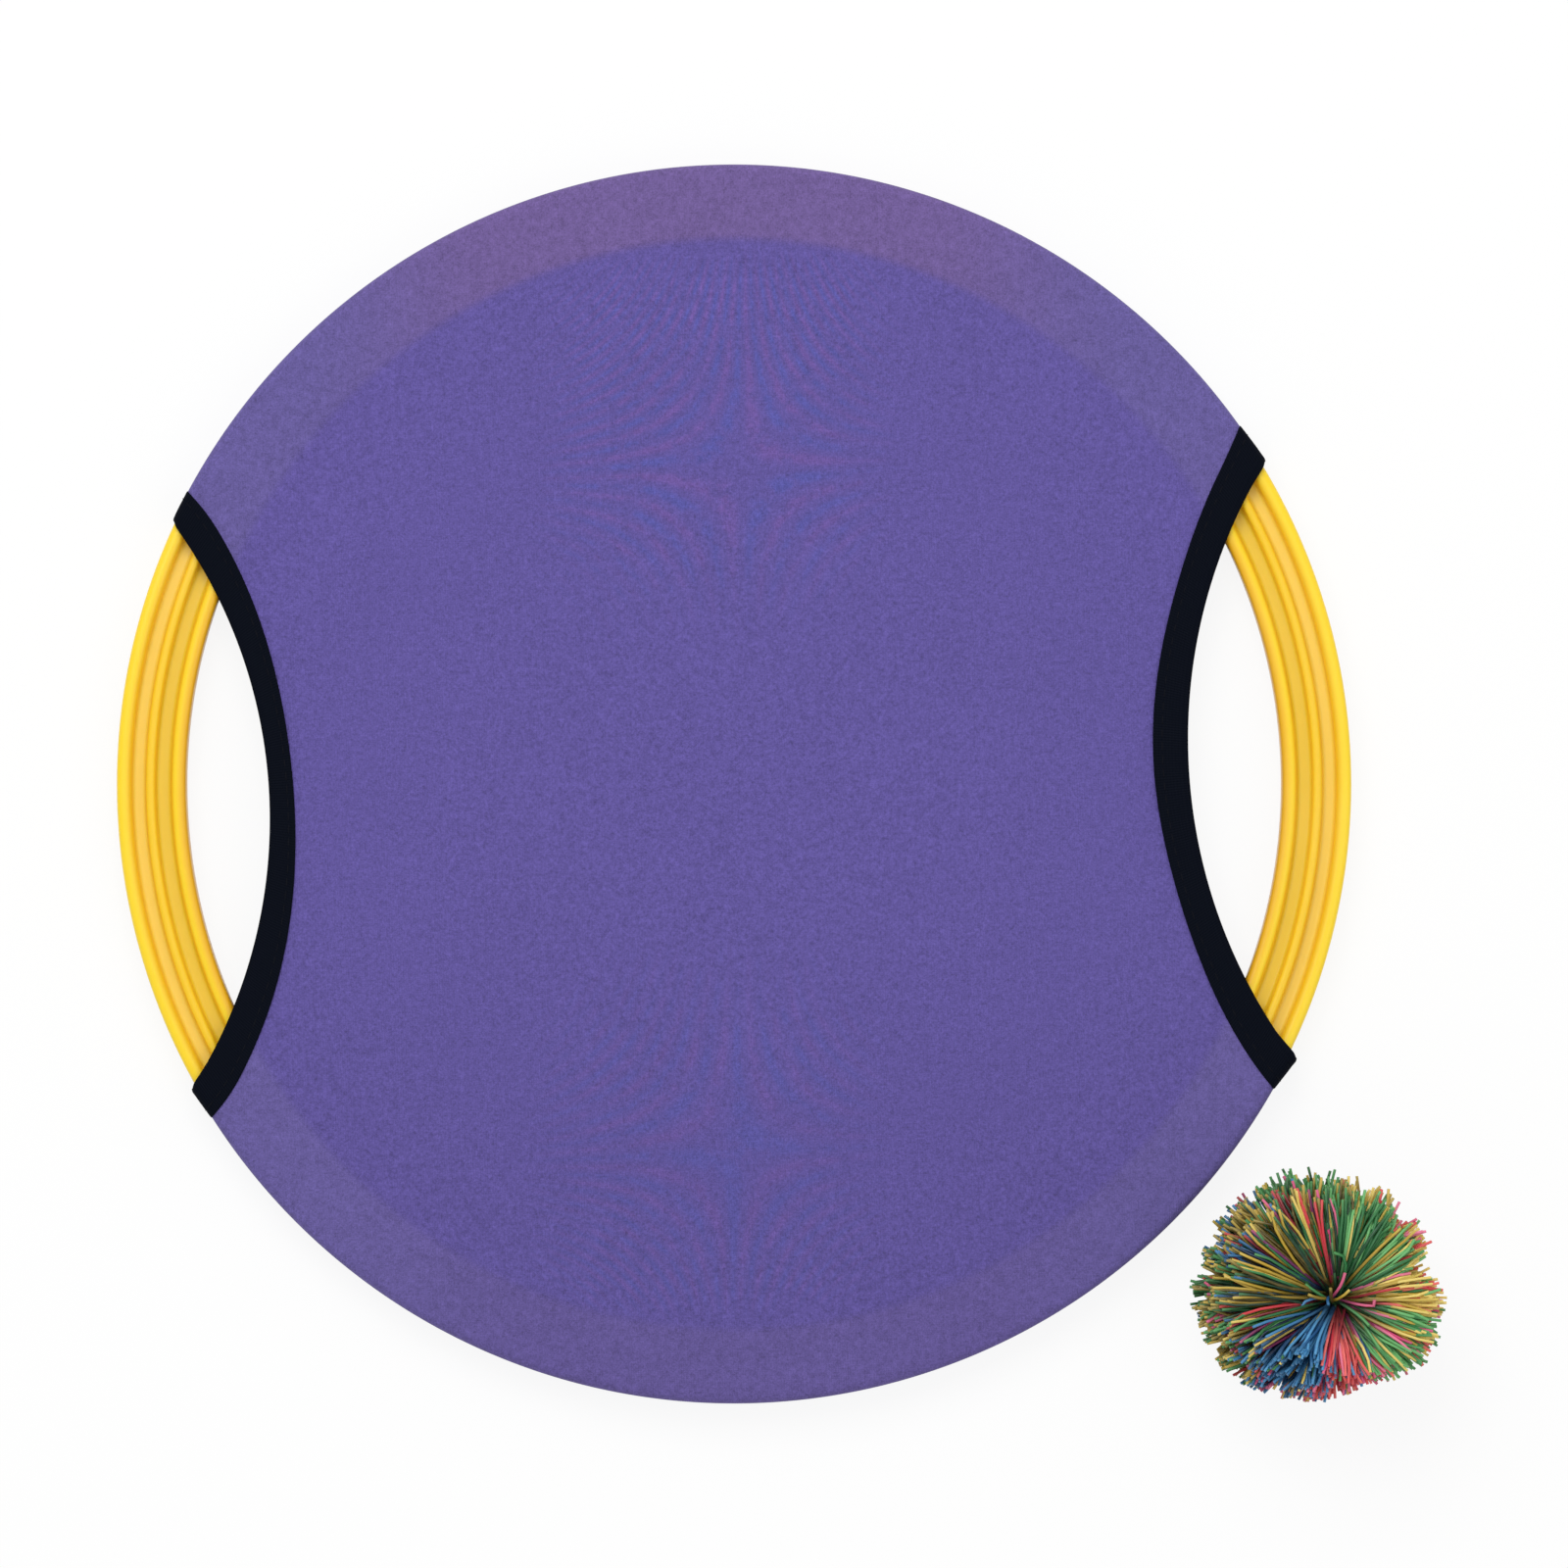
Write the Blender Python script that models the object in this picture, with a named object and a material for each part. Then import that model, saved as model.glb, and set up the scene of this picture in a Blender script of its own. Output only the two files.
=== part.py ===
"""Hand trampoline paddle with its rubber string ball.

A ribbed plastic ring carries two stretched covers that meet in a seam round its edge. Two folded
tapes close the covers beside the hand gaps. The ball is twelve bundles of rubber strands, gathered
in a small band. The paddle lies flat: X runs through both hand gaps and Z points up.
"""

import math
import random

import bmesh
import bpy
from mathutils import Vector

MM = 0.001

# Steps round every turned piece, so that neighbouring surfaces stay parallel.
TURN_STEPS = 60
ARC_STEPS = 26

# Clearance between faces that touch.
SEAT_GAP = 0.3 * MM

# Ring, measured from its middle plane.
RING_INNER_RADIUS = 119.4 * MM
RING_WIDTH = 15.0 * MM
RING_HALF_HEIGHT = 4.5 * MM
WEB_HALF_HEIGHT = 1.4 * MM
EDGE_RIB_WIDTH = 3.6 * MM
MIDDLE_RIB_WIDTH = 2.6 * MM
MIDDLE_RIB_INSET = 6.5 * MM
RIB_ROUNDING = 1.1 * MM
RIB_DRAFT = 0.35 * MM

# The ring's joints lie under the covers, this far round from the axis through both hand gaps.
JOINT_ANGLE = 36.0

# Covers and tapes, built up from the ring's surface outwards.
TAPE_INNER_LEAF = 0.3 * MM
TONGUE_THICKNESS = 0.25 * MM
TONGUE_STEP = 0.15 * MM
TAPE_OUTER_LEAF = 0.4 * MM
TAPE_FOLD = 0.6 * MM
RIM_STEPS = 2

# Hand gaps: each edge is an arc, its centre and radius given as shares of the ring's radius.
LEFT_GAP_ARC = (-1.5722, 0.0052, 0.8192)
LEFT_COVER_ARC = (-1.6466, -0.0015, 0.9323)
RIGHT_GAP_ARC = (1.6027, 0.0097, 0.8668)
RIGHT_COVER_ARC = (1.6168, 0.0097, 0.9301)
ARC_HALF_ANGLE = 52.0

# Ball: its place in shares of the ring's radius, its stretch and how far it sinks on the floor.
BALL_PLACE = (0.9241, -0.8586)
BALL_STRETCH = (1.055, 0.945, 0.90)
BALL_REST_SHARE = 0.907
STRAND_REACH = 29.4 * MM
PACKED_RADIUS = 11.0 * MM
AXIS_HOLE_RADIUS = 1.4 * MM
BUNDLE_COLUMNS = 4
ROW_ELEVATIONS = (2.1, 14.5, 27.0, 39.5, 52.0, 65.0, 80.0)
TIP_ELEVATION_LOW = 4.5
TIP_ELEVATION_SLOPE = 1.22
TIP_ELEVATION_HIGH = 82.0
STRAND_TIP_WIDTH = 1.15 * MM
STRAND_CLUMPING = 0.88
LENGTH_SPREAD = (0.82, 1.0)
AZIMUTH_JITTER = 1.3
ELEVATION_JITTER = 2.2
TIE_INNER_RADIUS = 2.7 * MM
TIE_THICKNESS = 1.4 * MM
TIE_HALF_HEIGHT = 0.9 * MM
SEED = 11

# Distances out from the ring's surface.
COVER_INNER_OFFSET = SEAT_GAP
LEAF_INNER_OFFSET = SEAT_GAP
LEAF_OUTER_OFFSET = LEAF_INNER_OFFSET + TAPE_INNER_LEAF
TONGUE_INNER_OFFSET = LEAF_OUTER_OFFSET + SEAT_GAP
TONGUE_OUTER_OFFSET = TONGUE_INNER_OFFSET + TONGUE_THICKNESS
COVER_OUTER_OFFSET = TONGUE_OUTER_OFFSET + TONGUE_STEP
SLOT_OUTER_OFFSET = TONGUE_OUTER_OFFSET + SEAT_GAP
TAPE_OUTER_OFFSET = SLOT_OUTER_OFFSET + TAPE_OUTER_LEAF

RING_OUTER_RADIUS = RING_INNER_RADIUS + RING_WIDTH
PANEL_RADIUS = RING_INNER_RADIUS + RIB_ROUNDING
MIDDLE_PLANE_Z = RING_HALF_HEIGHT + COVER_OUTER_OFFSET
FLOOR_Z = MIDDLE_PLANE_Z - RING_HALF_HEIGHT - TAPE_OUTER_OFFSET
CUT_REACH = 6.0 * RING_HALF_HEIGHT
BALL_CENTRE_X = BALL_PLACE[0] * RING_OUTER_RADIUS
BALL_CENTRE_Y = BALL_PLACE[1] * RING_OUTER_RADIUS
BALL_REST_HEIGHT = BALL_REST_SHARE * STRAND_REACH * BALL_STRETCH[2]

# Material: colour, roughness.
PLASTIC_YELLOW = ("ring_plastic", (0.90, 0.60, 0.035, 1.0), 0.32)
COVER_PURPLE = ("cover_fabric", (0.130, 0.102, 0.342, 1.0), 0.85)
TAPE_BLACK = ("edge_tape", (0.006, 0.008, 0.013, 1.0), 0.80)
TIE_GREY = ("ball_tie", (0.05, 0.05, 0.05, 1.0), 0.60)
STRAND_GREEN = ("green_rubber", (0.026, 0.223, 0.070, 1.0), 0.45)
STRAND_YELLOW = ("yellow_rubber", (0.52, 0.30, 0.032, 1.0), 0.45)
STRAND_BLUE = ("blue_rubber", (0.015, 0.105, 0.33, 1.0), 0.45)
STRAND_RED = ("red_rubber", (0.57, 0.032, 0.032, 1.0), 0.45)
STRAND_PINK = ("pink_rubber", (0.60, 0.065, 0.17, 1.0), 0.45)

BUNDLES = (
    ("yellow_strands_1", STRAND_YELLOW),
    ("green_strands_1", STRAND_GREEN),
    ("red_strands_1", STRAND_RED),
    ("green_strands_2", STRAND_GREEN),
    ("yellow_strands_2", STRAND_YELLOW),
    ("green_strands_3", STRAND_GREEN),
    ("yellow_strands_3", STRAND_YELLOW),
    ("blue_strands_1", STRAND_BLUE),
    ("blue_strands_2", STRAND_BLUE),
    ("red_strands_2", STRAND_RED),
    ("pink_strands_1", STRAND_PINK),
    ("green_strands_4", STRAND_GREEN),
)


def clear_scene():
    """Remove every object of the open scene."""
    for item in list(bpy.data.objects):
        bpy.data.objects.remove(item, do_unlink=True)


def make_material(finish):
    """Return the Principled material of a finish, made once."""
    name, colour, roughness = finish
    material = bpy.data.materials.get(name)
    if material is not None:
        return material
    material = bpy.data.materials.new(name)
    material.use_nodes = True
    material.diffuse_color = colour
    shader = material.node_tree.nodes["Principled BSDF"]
    shader.inputs["Base Color"].default_value = colour
    shader.inputs["Roughness"].default_value = roughness
    shader.inputs["Metallic"].default_value = 0.0
    return material


def add_object(name, bm, finish=None, smooth_angle=40.0):
    """Turn a bmesh into an object of the scene."""
    mesh = bpy.data.meshes.new(name)
    bmesh.ops.recalc_face_normals(bm, faces=bm.faces)
    limit = math.radians(smooth_angle)
    for face in bm.faces:
        face.smooth = True
    for edge in bm.edges:
        edge.smooth = edge.calc_face_angle(0.0) < limit
    bm.to_mesh(mesh)
    bm.free()
    item = bpy.data.objects.new(name, mesh)
    bpy.context.scene.collection.objects.link(item)
    if finish is not None:
        mesh.materials.append(make_material(finish))
    return item


def turn_profile(profile, closed, start=0.0, sweep=360.0):
    """Spin a profile of (radius, height) points round Z, from a start angle in degrees."""
    bm = bmesh.new()
    turn = math.radians(start)
    x, y = math.cos(turn), math.sin(turn)
    points = [bm.verts.new((radius * x, radius * y, height)) for radius, height in profile]
    edges = [bm.edges.new(pair) for pair in zip(points, points[1:])]
    if closed:
        edges.append(bm.edges.new((points[-1], points[0])))
    bmesh.ops.spin(
        bm,
        geom=points + edges,
        cent=(0.0, 0.0, 0.0),
        axis=(0.0, 0.0, 1.0),
        angle=math.radians(sweep),
        steps=round(TURN_STEPS * sweep / 360.0),
        use_merge=sweep == 360.0,
    )
    bmesh.ops.remove_doubles(bm, verts=bm.verts, dist=0.001 * MM)
    return bm


def fill_ends(bm):
    """Close the open rims of a turned shape with flat faces."""
    rims = [edge for edge in bm.edges if edge.is_boundary]
    bmesh.ops.holes_fill(bm, edges=rims, sides=0)


def rim_points(offset, inner_radius=None):
    """Return the upper half outline of the ring's wrap at an offset."""
    rounding = RIB_ROUNDING + offset
    top = MIDDLE_PLANE_Z + RING_HALF_HEIGHT + offset
    outer = RING_OUTER_RADIUS + offset
    points = []
    if inner_radius is not None:
        points.append((inner_radius, top))
    for step in range(RIM_STEPS + 1):
        turn = 0.5 * math.pi * step / RIM_STEPS
        radius = outer - rounding + rounding * math.sin(turn)
        height = top - rounding + rounding * math.cos(turn)
        points.append((radius, height))
    return points


def mirror_down(points):
    """Return points mirrored in the middle plane, in reverse order."""
    return [(radius, 2.0 * MIDDLE_PLANE_Z - height) for radius, height in reversed(points)]


def add_puck(name, offset):
    """Add the solid disc that wraps the ring at an offset."""
    upper = rim_points(offset)
    bm = turn_profile(upper + mirror_down(upper), closed=False)
    fill_ends(bm)
    return hide_cutter(add_object(name, bm))


def hide_cutter(item):
    """Mark an object as a cutting tool only."""
    item.hide_render = True
    item.display_type = "WIRE"
    return item


def cut(item, tool, operation="DIFFERENCE"):
    """Add an exact Boolean with a tool to an object."""
    modifier = item.modifiers.new(operation.lower() + "_" + tool.name, "BOOLEAN")
    modifier.operation = operation
    modifier.solver = "EXACT"
    modifier.object = tool
    return item


def weld(item):
    """Merge the sliver points that Booleans leave."""
    modifier = item.modifiers.new("weld", "WELD")
    modifier.merge_threshold = 0.005 * MM
    return item


def arc_outline(arc, grow):
    """Return points of an arc that faces the paddle's centre."""
    centre_x, centre_y, radius = (share * RING_OUTER_RADIUS for share in arc)
    facing = 0.0 if centre_x < 0.0 else math.pi
    points = []
    for step in range(ARC_STEPS + 1):
        share = 2.0 * step / ARC_STEPS - 1.0
        turn = facing + math.radians(ARC_HALF_ANGLE) * share
        x = centre_x + (radius + grow) * math.cos(turn)
        y = centre_y + (radius + grow) * math.sin(turn)
        points.append((x, y))
    return points


def add_prism(name, outline):
    """Add an upright prism over a plan outline."""
    bm = bmesh.new()
    base = MIDDLE_PLANE_Z - CUT_REACH
    floor = bm.faces.new([bm.verts.new((x, y, base)) for x, y in outline])
    raised = bmesh.ops.extrude_face_region(bm, geom=[floor])
    lifted = [part for part in raised["geom"] if isinstance(part, bmesh.types.BMVert)]
    bmesh.ops.translate(bm, verts=lifted, vec=(0.0, 0.0, 2.0 * CUT_REACH))
    return hide_cutter(add_object(name, bm))


def add_gap_cutter(name, arc, grow):
    """Add a prism that takes away all beyond an arc."""
    return add_prism(name, arc_outline(arc, grow))


def add_band_cutter(name, inner_arc, inner_grow, outer_arc, outer_grow):
    """Add a prism over the band between two arcs."""
    near = arc_outline(outer_arc, outer_grow)
    far = arc_outline(inner_arc, inner_grow)
    return add_prism(name, near + far[::-1])


def build_ring():
    """Build the ring with three ribs on each face, as four arcs."""
    inner = RING_INNER_RADIUS
    outer = RING_OUTER_RADIUS
    top = RING_HALF_HEIGHT
    web = WEB_HALF_HEIGHT
    shoulder = top - RIB_ROUNDING
    middle = inner + MIDDLE_RIB_INSET
    middle_end = middle + MIDDLE_RIB_WIDTH
    upper = [
        (inner, shoulder),
        (inner + RIB_ROUNDING, top),
        (inner + EDGE_RIB_WIDTH - RIB_DRAFT - RIB_ROUNDING, top),
        (inner + EDGE_RIB_WIDTH - RIB_DRAFT, shoulder),
        (inner + EDGE_RIB_WIDTH, web),
        (middle, web),
        (middle + RIB_DRAFT, shoulder),
        (middle + 0.5 * MIDDLE_RIB_WIDTH, top),
        (middle_end - RIB_DRAFT, shoulder),
        (middle_end, web),
        (outer - EDGE_RIB_WIDTH, web),
        (outer - EDGE_RIB_WIDTH + RIB_DRAFT, shoulder),
        (outer - EDGE_RIB_WIDTH + RIB_DRAFT + RIB_ROUNDING, top),
        (outer - RIB_ROUNDING, top),
        (outer - 0.3 * RIB_ROUNDING, top - 0.3 * RIB_ROUNDING),
        (outer, shoulder),
    ]
    section = upper + [(radius, -height) for radius, height in reversed(upper)]
    lifted = [(radius, height + MIDDLE_PLANE_Z) for radius, height in section]
    clearance = math.degrees(0.5 * SEAT_GAP / inner)
    for name, facing, half in (
        ("ring_right_grip", 0.0, JOINT_ANGLE),
        ("ring_upper_arc", 90.0, 90.0 - JOINT_ANGLE),
        ("ring_left_grip", 180.0, JOINT_ANGLE),
        ("ring_lower_arc", 270.0, 90.0 - JOINT_ANGLE),
    ):
        half -= clearance
        bm = turn_profile(lifted, True, start=facing - half, sweep=2.0 * half)
        fill_ends(bm)
        add_object(name, bm, PLASTIC_YELLOW)


def build_panel(name, front, tools):
    """Build a cover's flat stretched face, which ends on the ring's inner rib."""
    surface = MIDDLE_PLANE_Z + RING_HALF_HEIGHT
    profile = [
        (PANEL_RADIUS, surface + COVER_OUTER_OFFSET),
        (PANEL_RADIUS, surface + COVER_INNER_OFFSET),
    ]
    if not front:
        profile = mirror_down(profile)
    bm = turn_profile(profile, closed=False)
    fill_ends(bm)
    return finish_cover(add_object(name, bm, COVER_PURPLE), tools)


def build_rim(name, front, start, tools):
    """Build half of a cover's rim, which turns over the ring down to the seam."""
    seam = MIDDLE_PLANE_Z + 0.5 * SEAT_GAP
    edge = PANEL_RADIUS + SEAT_GAP
    outside = rim_points(COVER_OUTER_OFFSET, edge)
    outside.append((RING_OUTER_RADIUS + COVER_OUTER_OFFSET, seam))
    inside = rim_points(COVER_INNER_OFFSET, edge)
    inside.append((RING_OUTER_RADIUS + COVER_INNER_OFFSET, seam))
    profile = outside + inside[::-1]
    if not front:
        profile = mirror_down(profile)
    bm = turn_profile(profile, True, start=start, sweep=180.0)
    fill_ends(bm)
    return finish_cover(add_object(name, bm, COVER_PURPLE), tools)


def finish_cover(cover, tools):
    """Cut a piece of a cover at the hand gaps and thin it beside them."""
    for tool in tools:
        cut(cover, tool)
    return weld(cover)


def add_step_cutter(name, arc, tongue_shell):
    """Add the tool that thins a cover on both sides to its tongue beside an arc."""
    return cut(add_gap_cutter(name, arc, SEAT_GAP), tongue_shell)


def build_tape(name, gap_arc, cover_arc, inner_puck):
    """Build the folded tape that closes both covers beside one hand gap."""
    side = name.split("_")[0]
    slot = add_puck(side + "_slot_tool", SLOT_OUTER_OFFSET)
    cut(slot, add_puck(side + "_slot_core_tool", LEAF_OUTER_OFFSET))
    reach = add_band_cutter(side + "_slot_band", gap_arc, TAPE_FOLD, cover_arc, 3.0 * MM)
    cut(slot, reach, "INTERSECT")

    upper = rim_points(TAPE_OUTER_OFFSET)
    bm = turn_profile(upper + mirror_down(upper), closed=False)
    fill_ends(bm)
    tape = add_object(name, bm, TAPE_BLACK)
    band = add_band_cutter(side + "_tape_band", gap_arc, 0.0, cover_arc, 0.0)
    cut(tape, band, "INTERSECT")
    cut(tape, inner_puck)
    cut(tape, slot)
    return weld(tape)


def build_paddle():
    """Build the ring, both covers and both tapes."""
    build_ring()
    end_grow = TAPE_FOLD + SEAT_GAP
    tongue_shell = add_puck("tongue_shell_tool", TONGUE_OUTER_OFFSET)
    cut(tongue_shell, add_puck("tongue_core_tool", TONGUE_INNER_OFFSET))
    tools = [
        add_gap_cutter("left_end_tool", LEFT_GAP_ARC, end_grow),
        add_gap_cutter("right_end_tool", RIGHT_GAP_ARC, end_grow),
        add_step_cutter("left_step_tool", LEFT_COVER_ARC, tongue_shell),
        add_step_cutter("right_step_tool", RIGHT_COVER_ARC, tongue_shell),
    ]
    for side, front in (("front", True), ("back", False)):
        build_panel(side + "_cover_panel", front, tools)
        build_rim(side + "_upper_rim", front, 0.0, tools)
        build_rim(side + "_lower_rim", front, 180.0, tools)
    inner_puck = add_puck("tape_core_tool", LEAF_INNER_OFFSET)
    build_tape("left_edge_tape", LEFT_GAP_ARC, LEFT_COVER_ARC, inner_puck)
    build_tape("right_edge_tape", RIGHT_GAP_ARC, RIGHT_COVER_ARC, inner_puck)


def ball_point(azimuth, elevation, radius):
    """Return a point of the unstretched ball from angles in degrees."""
    turn = math.radians(azimuth)
    rise = math.radians(elevation)
    flat = radius * math.cos(rise)
    return Vector((flat * math.cos(turn), flat * math.sin(turn), radius * math.sin(rise)))


def settle(point):
    """Stretch a ball point, move it into place and keep it above the floor."""
    x = BALL_CENTRE_X + point.x * BALL_STRETCH[0]
    y = BALL_CENTRE_Y + point.y * BALL_STRETCH[1]
    z = FLOOR_Z + BALL_REST_HEIGHT + point.z * BALL_STRETCH[2]
    return Vector((x, y, max(z, FLOOR_Z)))


def bundle_section():
    """Return a bundle's upright section and the rows that carry strands."""
    rows = []
    for elevation in reversed(ROW_ELEVATIONS):
        rise = math.radians(elevation)
        rows.append((PACKED_RADIUS * math.cos(rise), PACKED_RADIUS * math.sin(rise)))
    pocket_radius = TIE_INNER_RADIUS + TIE_THICKNESS + SEAT_GAP
    pocket_height = TIE_HALF_HEIGHT + SEAT_GAP
    upper = [(AXIS_HOLE_RADIUS, 0.8 * rows[0][1])] + rows
    upper += [
        (pocket_radius, rows[-1][1]),
        (pocket_radius, pocket_height),
        (TIE_INNER_RADIUS - SEAT_GAP, pocket_height),
    ]
    lower = [(radius, -height) for radius, height in reversed(upper)]
    first = 1
    last = len(rows)
    row_pairs = [(step, step + 1) for step in range(first, last)]
    total = len(upper) + len(lower)
    mirrored = [(total - 1 - low, total - 1 - high) for high, low in row_pairs]
    return upper + lower, row_pairs + mirrored


def place_cap(face, centre, outward, width, height):
    """Move the four points of a strand's end face to a square section."""
    up = Vector((0.0, 0.0, 1.0))
    across = up.cross(outward).normalized()
    rise = outward.cross(across).normalized()
    middle = face.calc_center_median()
    for vert in face.verts:
        offset = vert.co - middle
        side = math.copysign(0.5 * width, offset.dot(across))
        lift = math.copysign(0.5 * height, offset.dot(rise))
        vert.co = centre + across * side + rise * lift


def grow_strands(bm, cells, tag, middle_azimuth, chance):
    """Extrude every tagged cell into one tapering strand."""
    column_angle = 360.0 / len(BUNDLES) / BUNDLE_COLUMNS
    aims = []
    for azimuth, elevation in cells:
        sign = math.copysign(1.0, elevation)
        tip = TIP_ELEVATION_LOW + TIP_ELEVATION_SLOPE * (abs(elevation) - ROW_ELEVATIONS[0])
        tip = min(tip + chance.uniform(-ELEVATION_JITTER, ELEVATION_JITTER), TIP_ELEVATION_HIGH)
        turned = middle_azimuth + (azimuth - middle_azimuth) * STRAND_CLUMPING
        turned += chance.uniform(-AZIMUTH_JITTER, AZIMUTH_JITTER)
        length = chance.uniform(*LENGTH_SPREAD)
        aims.append(ball_point(turned, sign * tip, STRAND_REACH * length))
    roots = [face for face in bm.faces if face[tag] > 0]
    grown = bmesh.ops.extrude_discrete_faces(bm, faces=roots)
    for face in grown["faces"]:
        centre = aims[face[tag] - 1]
        flat = math.hypot(centre.x, centre.y)
        room = 0.62 * flat * math.radians(column_angle) * STRAND_CLUMPING
        width = min(STRAND_TIP_WIDTH, room)
        place_cap(face, centre, centre.normalized(), width, STRAND_TIP_WIDTH)


def build_bundle(number, name, finish, chance):
    """Build one bundle: its packed root, its waist in the band and its strands."""
    span = 360.0 / len(BUNDLES)
    middle_azimuth = number * span
    start = middle_azimuth - 0.5 * span
    section, row_pairs = bundle_section()
    bm = bmesh.new()
    tag = bm.faces.layers.int.new("strand")
    grid = []
    for column in range(BUNDLE_COLUMNS + 1):
        azimuth = start + span * column / BUNDLE_COLUMNS
        turn = math.radians(azimuth)
        inward = 0.0
        if column == 0:
            inward = 0.5 * SEAT_GAP
        if column == BUNDLE_COLUMNS:
            inward = -0.5 * SEAT_GAP
        line = []
        for radius, height in section:
            x = radius * math.cos(turn) - inward * math.sin(turn)
            y = radius * math.sin(turn) + inward * math.cos(turn)
            line.append(bm.verts.new((x, y, height)))
        grid.append(line)
    pairs = {tuple(pair) for pair in row_pairs}
    cells = []
    count = len(section)
    for column in range(BUNDLE_COLUMNS):
        for step in range(count):
            following = (step + 1) % count
            near = grid[column]
            far = grid[column + 1]
            face = bm.faces.new((near[step], near[following], far[following], far[step]))
            if (step, following) not in pairs:
                continue
            heights = (section[step][1], section[following][1])
            radii = (section[step][0], section[following][0])
            elevation = math.degrees(math.atan2(sum(heights), sum(radii)))
            if abs(elevation) > ROW_ELEVATIONS[-2] and column != BUNDLE_COLUMNS // 2:
                continue
            azimuth = start + span * (column + 0.5) / BUNDLE_COLUMNS
            cells.append((azimuth, elevation))
            face[tag] = len(cells)
    bm.faces.new(grid[0][::-1])
    bm.faces.new(grid[-1])
    bmesh.ops.recalc_face_normals(bm, faces=bm.faces)
    grow_strands(bm, cells, tag, middle_azimuth, chance)
    for vert in bm.verts:
        vert.co = settle(vert.co)
    return add_object(name, bm, finish, smooth_angle=30.0)


def build_tie():
    """Build the small band that gathers the strands."""
    bm = bmesh.new()
    outer = TIE_INNER_RADIUS + TIE_THICKNESS
    profile = (
        (TIE_INNER_RADIUS, -TIE_HALF_HEIGHT),
        (outer, -TIE_HALF_HEIGHT),
        (outer, TIE_HALF_HEIGHT),
        (TIE_INNER_RADIUS, TIE_HALF_HEIGHT),
    )
    points = [bm.verts.new((radius, 0.0, height)) for radius, height in profile]
    edges = [bm.edges.new((points[step], points[(step + 1) % 4])) for step in range(4)]
    bmesh.ops.spin(
        bm,
        geom=points + edges,
        cent=(0.0, 0.0, 0.0),
        axis=(0.0, 0.0, 1.0),
        angle=2.0 * math.pi,
        steps=4 * len(BUNDLES) // 2,
        use_merge=True,
    )
    bmesh.ops.remove_doubles(bm, verts=bm.verts, dist=0.001 * MM)
    for vert in bm.verts:
        vert.co = settle(vert.co)
    return add_object("ball_tie", bm, TIE_GREY)


def build_ball():
    """Build the band and the twelve bundles round it."""
    chance = random.Random(SEED)
    build_tie()
    for number, (name, finish) in enumerate(BUNDLES):
        build_bundle(number, name, finish, chance)


def main():
    """Build the whole set."""
    clear_scene()
    build_paddle()
    build_ball()


main()
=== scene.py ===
"""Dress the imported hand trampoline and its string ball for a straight-down studio view.

The ring, both stretched covers, the folded edge tapes, their stitching and the rubber strands are
built here in metres, in the frame of the solids: X runs through both hand gaps, Z points up.
"""

from __future__ import annotations

import logging
import math
import random
from dataclasses import astuple, dataclass, field, replace
from enum import Enum
from typing import Any, Callable, Iterable, Sequence

import bmesh
import bpy
import numpy as np
from mathutils import Matrix, Vector

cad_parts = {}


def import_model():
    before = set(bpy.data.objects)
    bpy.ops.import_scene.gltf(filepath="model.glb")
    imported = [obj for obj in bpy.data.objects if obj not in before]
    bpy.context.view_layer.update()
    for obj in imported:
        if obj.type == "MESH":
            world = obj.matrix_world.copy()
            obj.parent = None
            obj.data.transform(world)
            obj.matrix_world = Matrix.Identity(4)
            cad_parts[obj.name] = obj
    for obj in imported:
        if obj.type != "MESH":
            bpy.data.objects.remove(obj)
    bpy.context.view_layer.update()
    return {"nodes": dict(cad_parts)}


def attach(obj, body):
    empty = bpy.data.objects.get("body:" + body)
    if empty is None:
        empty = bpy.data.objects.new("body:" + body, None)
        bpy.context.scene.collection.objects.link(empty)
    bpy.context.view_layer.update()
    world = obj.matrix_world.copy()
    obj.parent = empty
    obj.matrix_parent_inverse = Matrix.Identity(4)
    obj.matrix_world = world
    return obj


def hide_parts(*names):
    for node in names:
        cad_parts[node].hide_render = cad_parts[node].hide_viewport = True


LOG = logging.getLogger("paddle_set")
MM = 0.001
ROOT_BODY = "root"
RING_NODES = ("ring_left_grip", "ring_right_grip", "ring_upper_arc", "ring_lower_arc")
SOCKET_TYPES = {
    float: "NodeSocketFloat", int: "NodeSocketInt", type(None): "NodeSocketMaterial"}
GOLDEN_ANGLE = 137.50776
WHITE = (1.0, 1.0, 1.0)

Colour = tuple[float, float, float]
Range = tuple[float, float]
Values = dict[Any, Any] | None
Piece = bpy.types.Object
Material = bpy.types.Material
Tree = bpy.types.NodeTree


def linear(red: float, green: float, blue: float) -> Colour:
    """Turn an 8-bit display colour into a linear one.

    Args:
        red: Red, 0 to 255.
        green: Green, 0 to 255.
        blue: Blue, 0 to 255.

    Returns:
        The linear colour, each value 0 to 1.
    """
    made = []
    for level in (red, green, blue):
        share = level / 255.0
        made.append(share / 12.92 if share <= 0.04045 else ((share + 0.055) / 1.055) ** 2.4)
    return (made[0], made[1], made[2])


def smooth_step(value: float) -> float:
    """Return a value clamped to 0..1 and eased at both ends."""
    share = min(max(value, 0.0), 1.0)
    return share * share * (3.0 - 2.0 * share)


def math_method(operation: str, swapped: bool = False) -> Callable[..., "Wire"]:
    """Make a method that adds one Math node over a wire and, for some, another value.

    Args:
        operation: The node's operation.
        swapped: Put the other value first.

    Returns:
        The method.
    """
    def method(wire: "Wire", *other: Any) -> "Wire":
        """Add the node."""
        values = (*other, wire) if swapped else (wire, *other)
        return wire.graph.node("ShaderNodeMath", dict(enumerate(values)), operation=operation)
    return method


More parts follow.
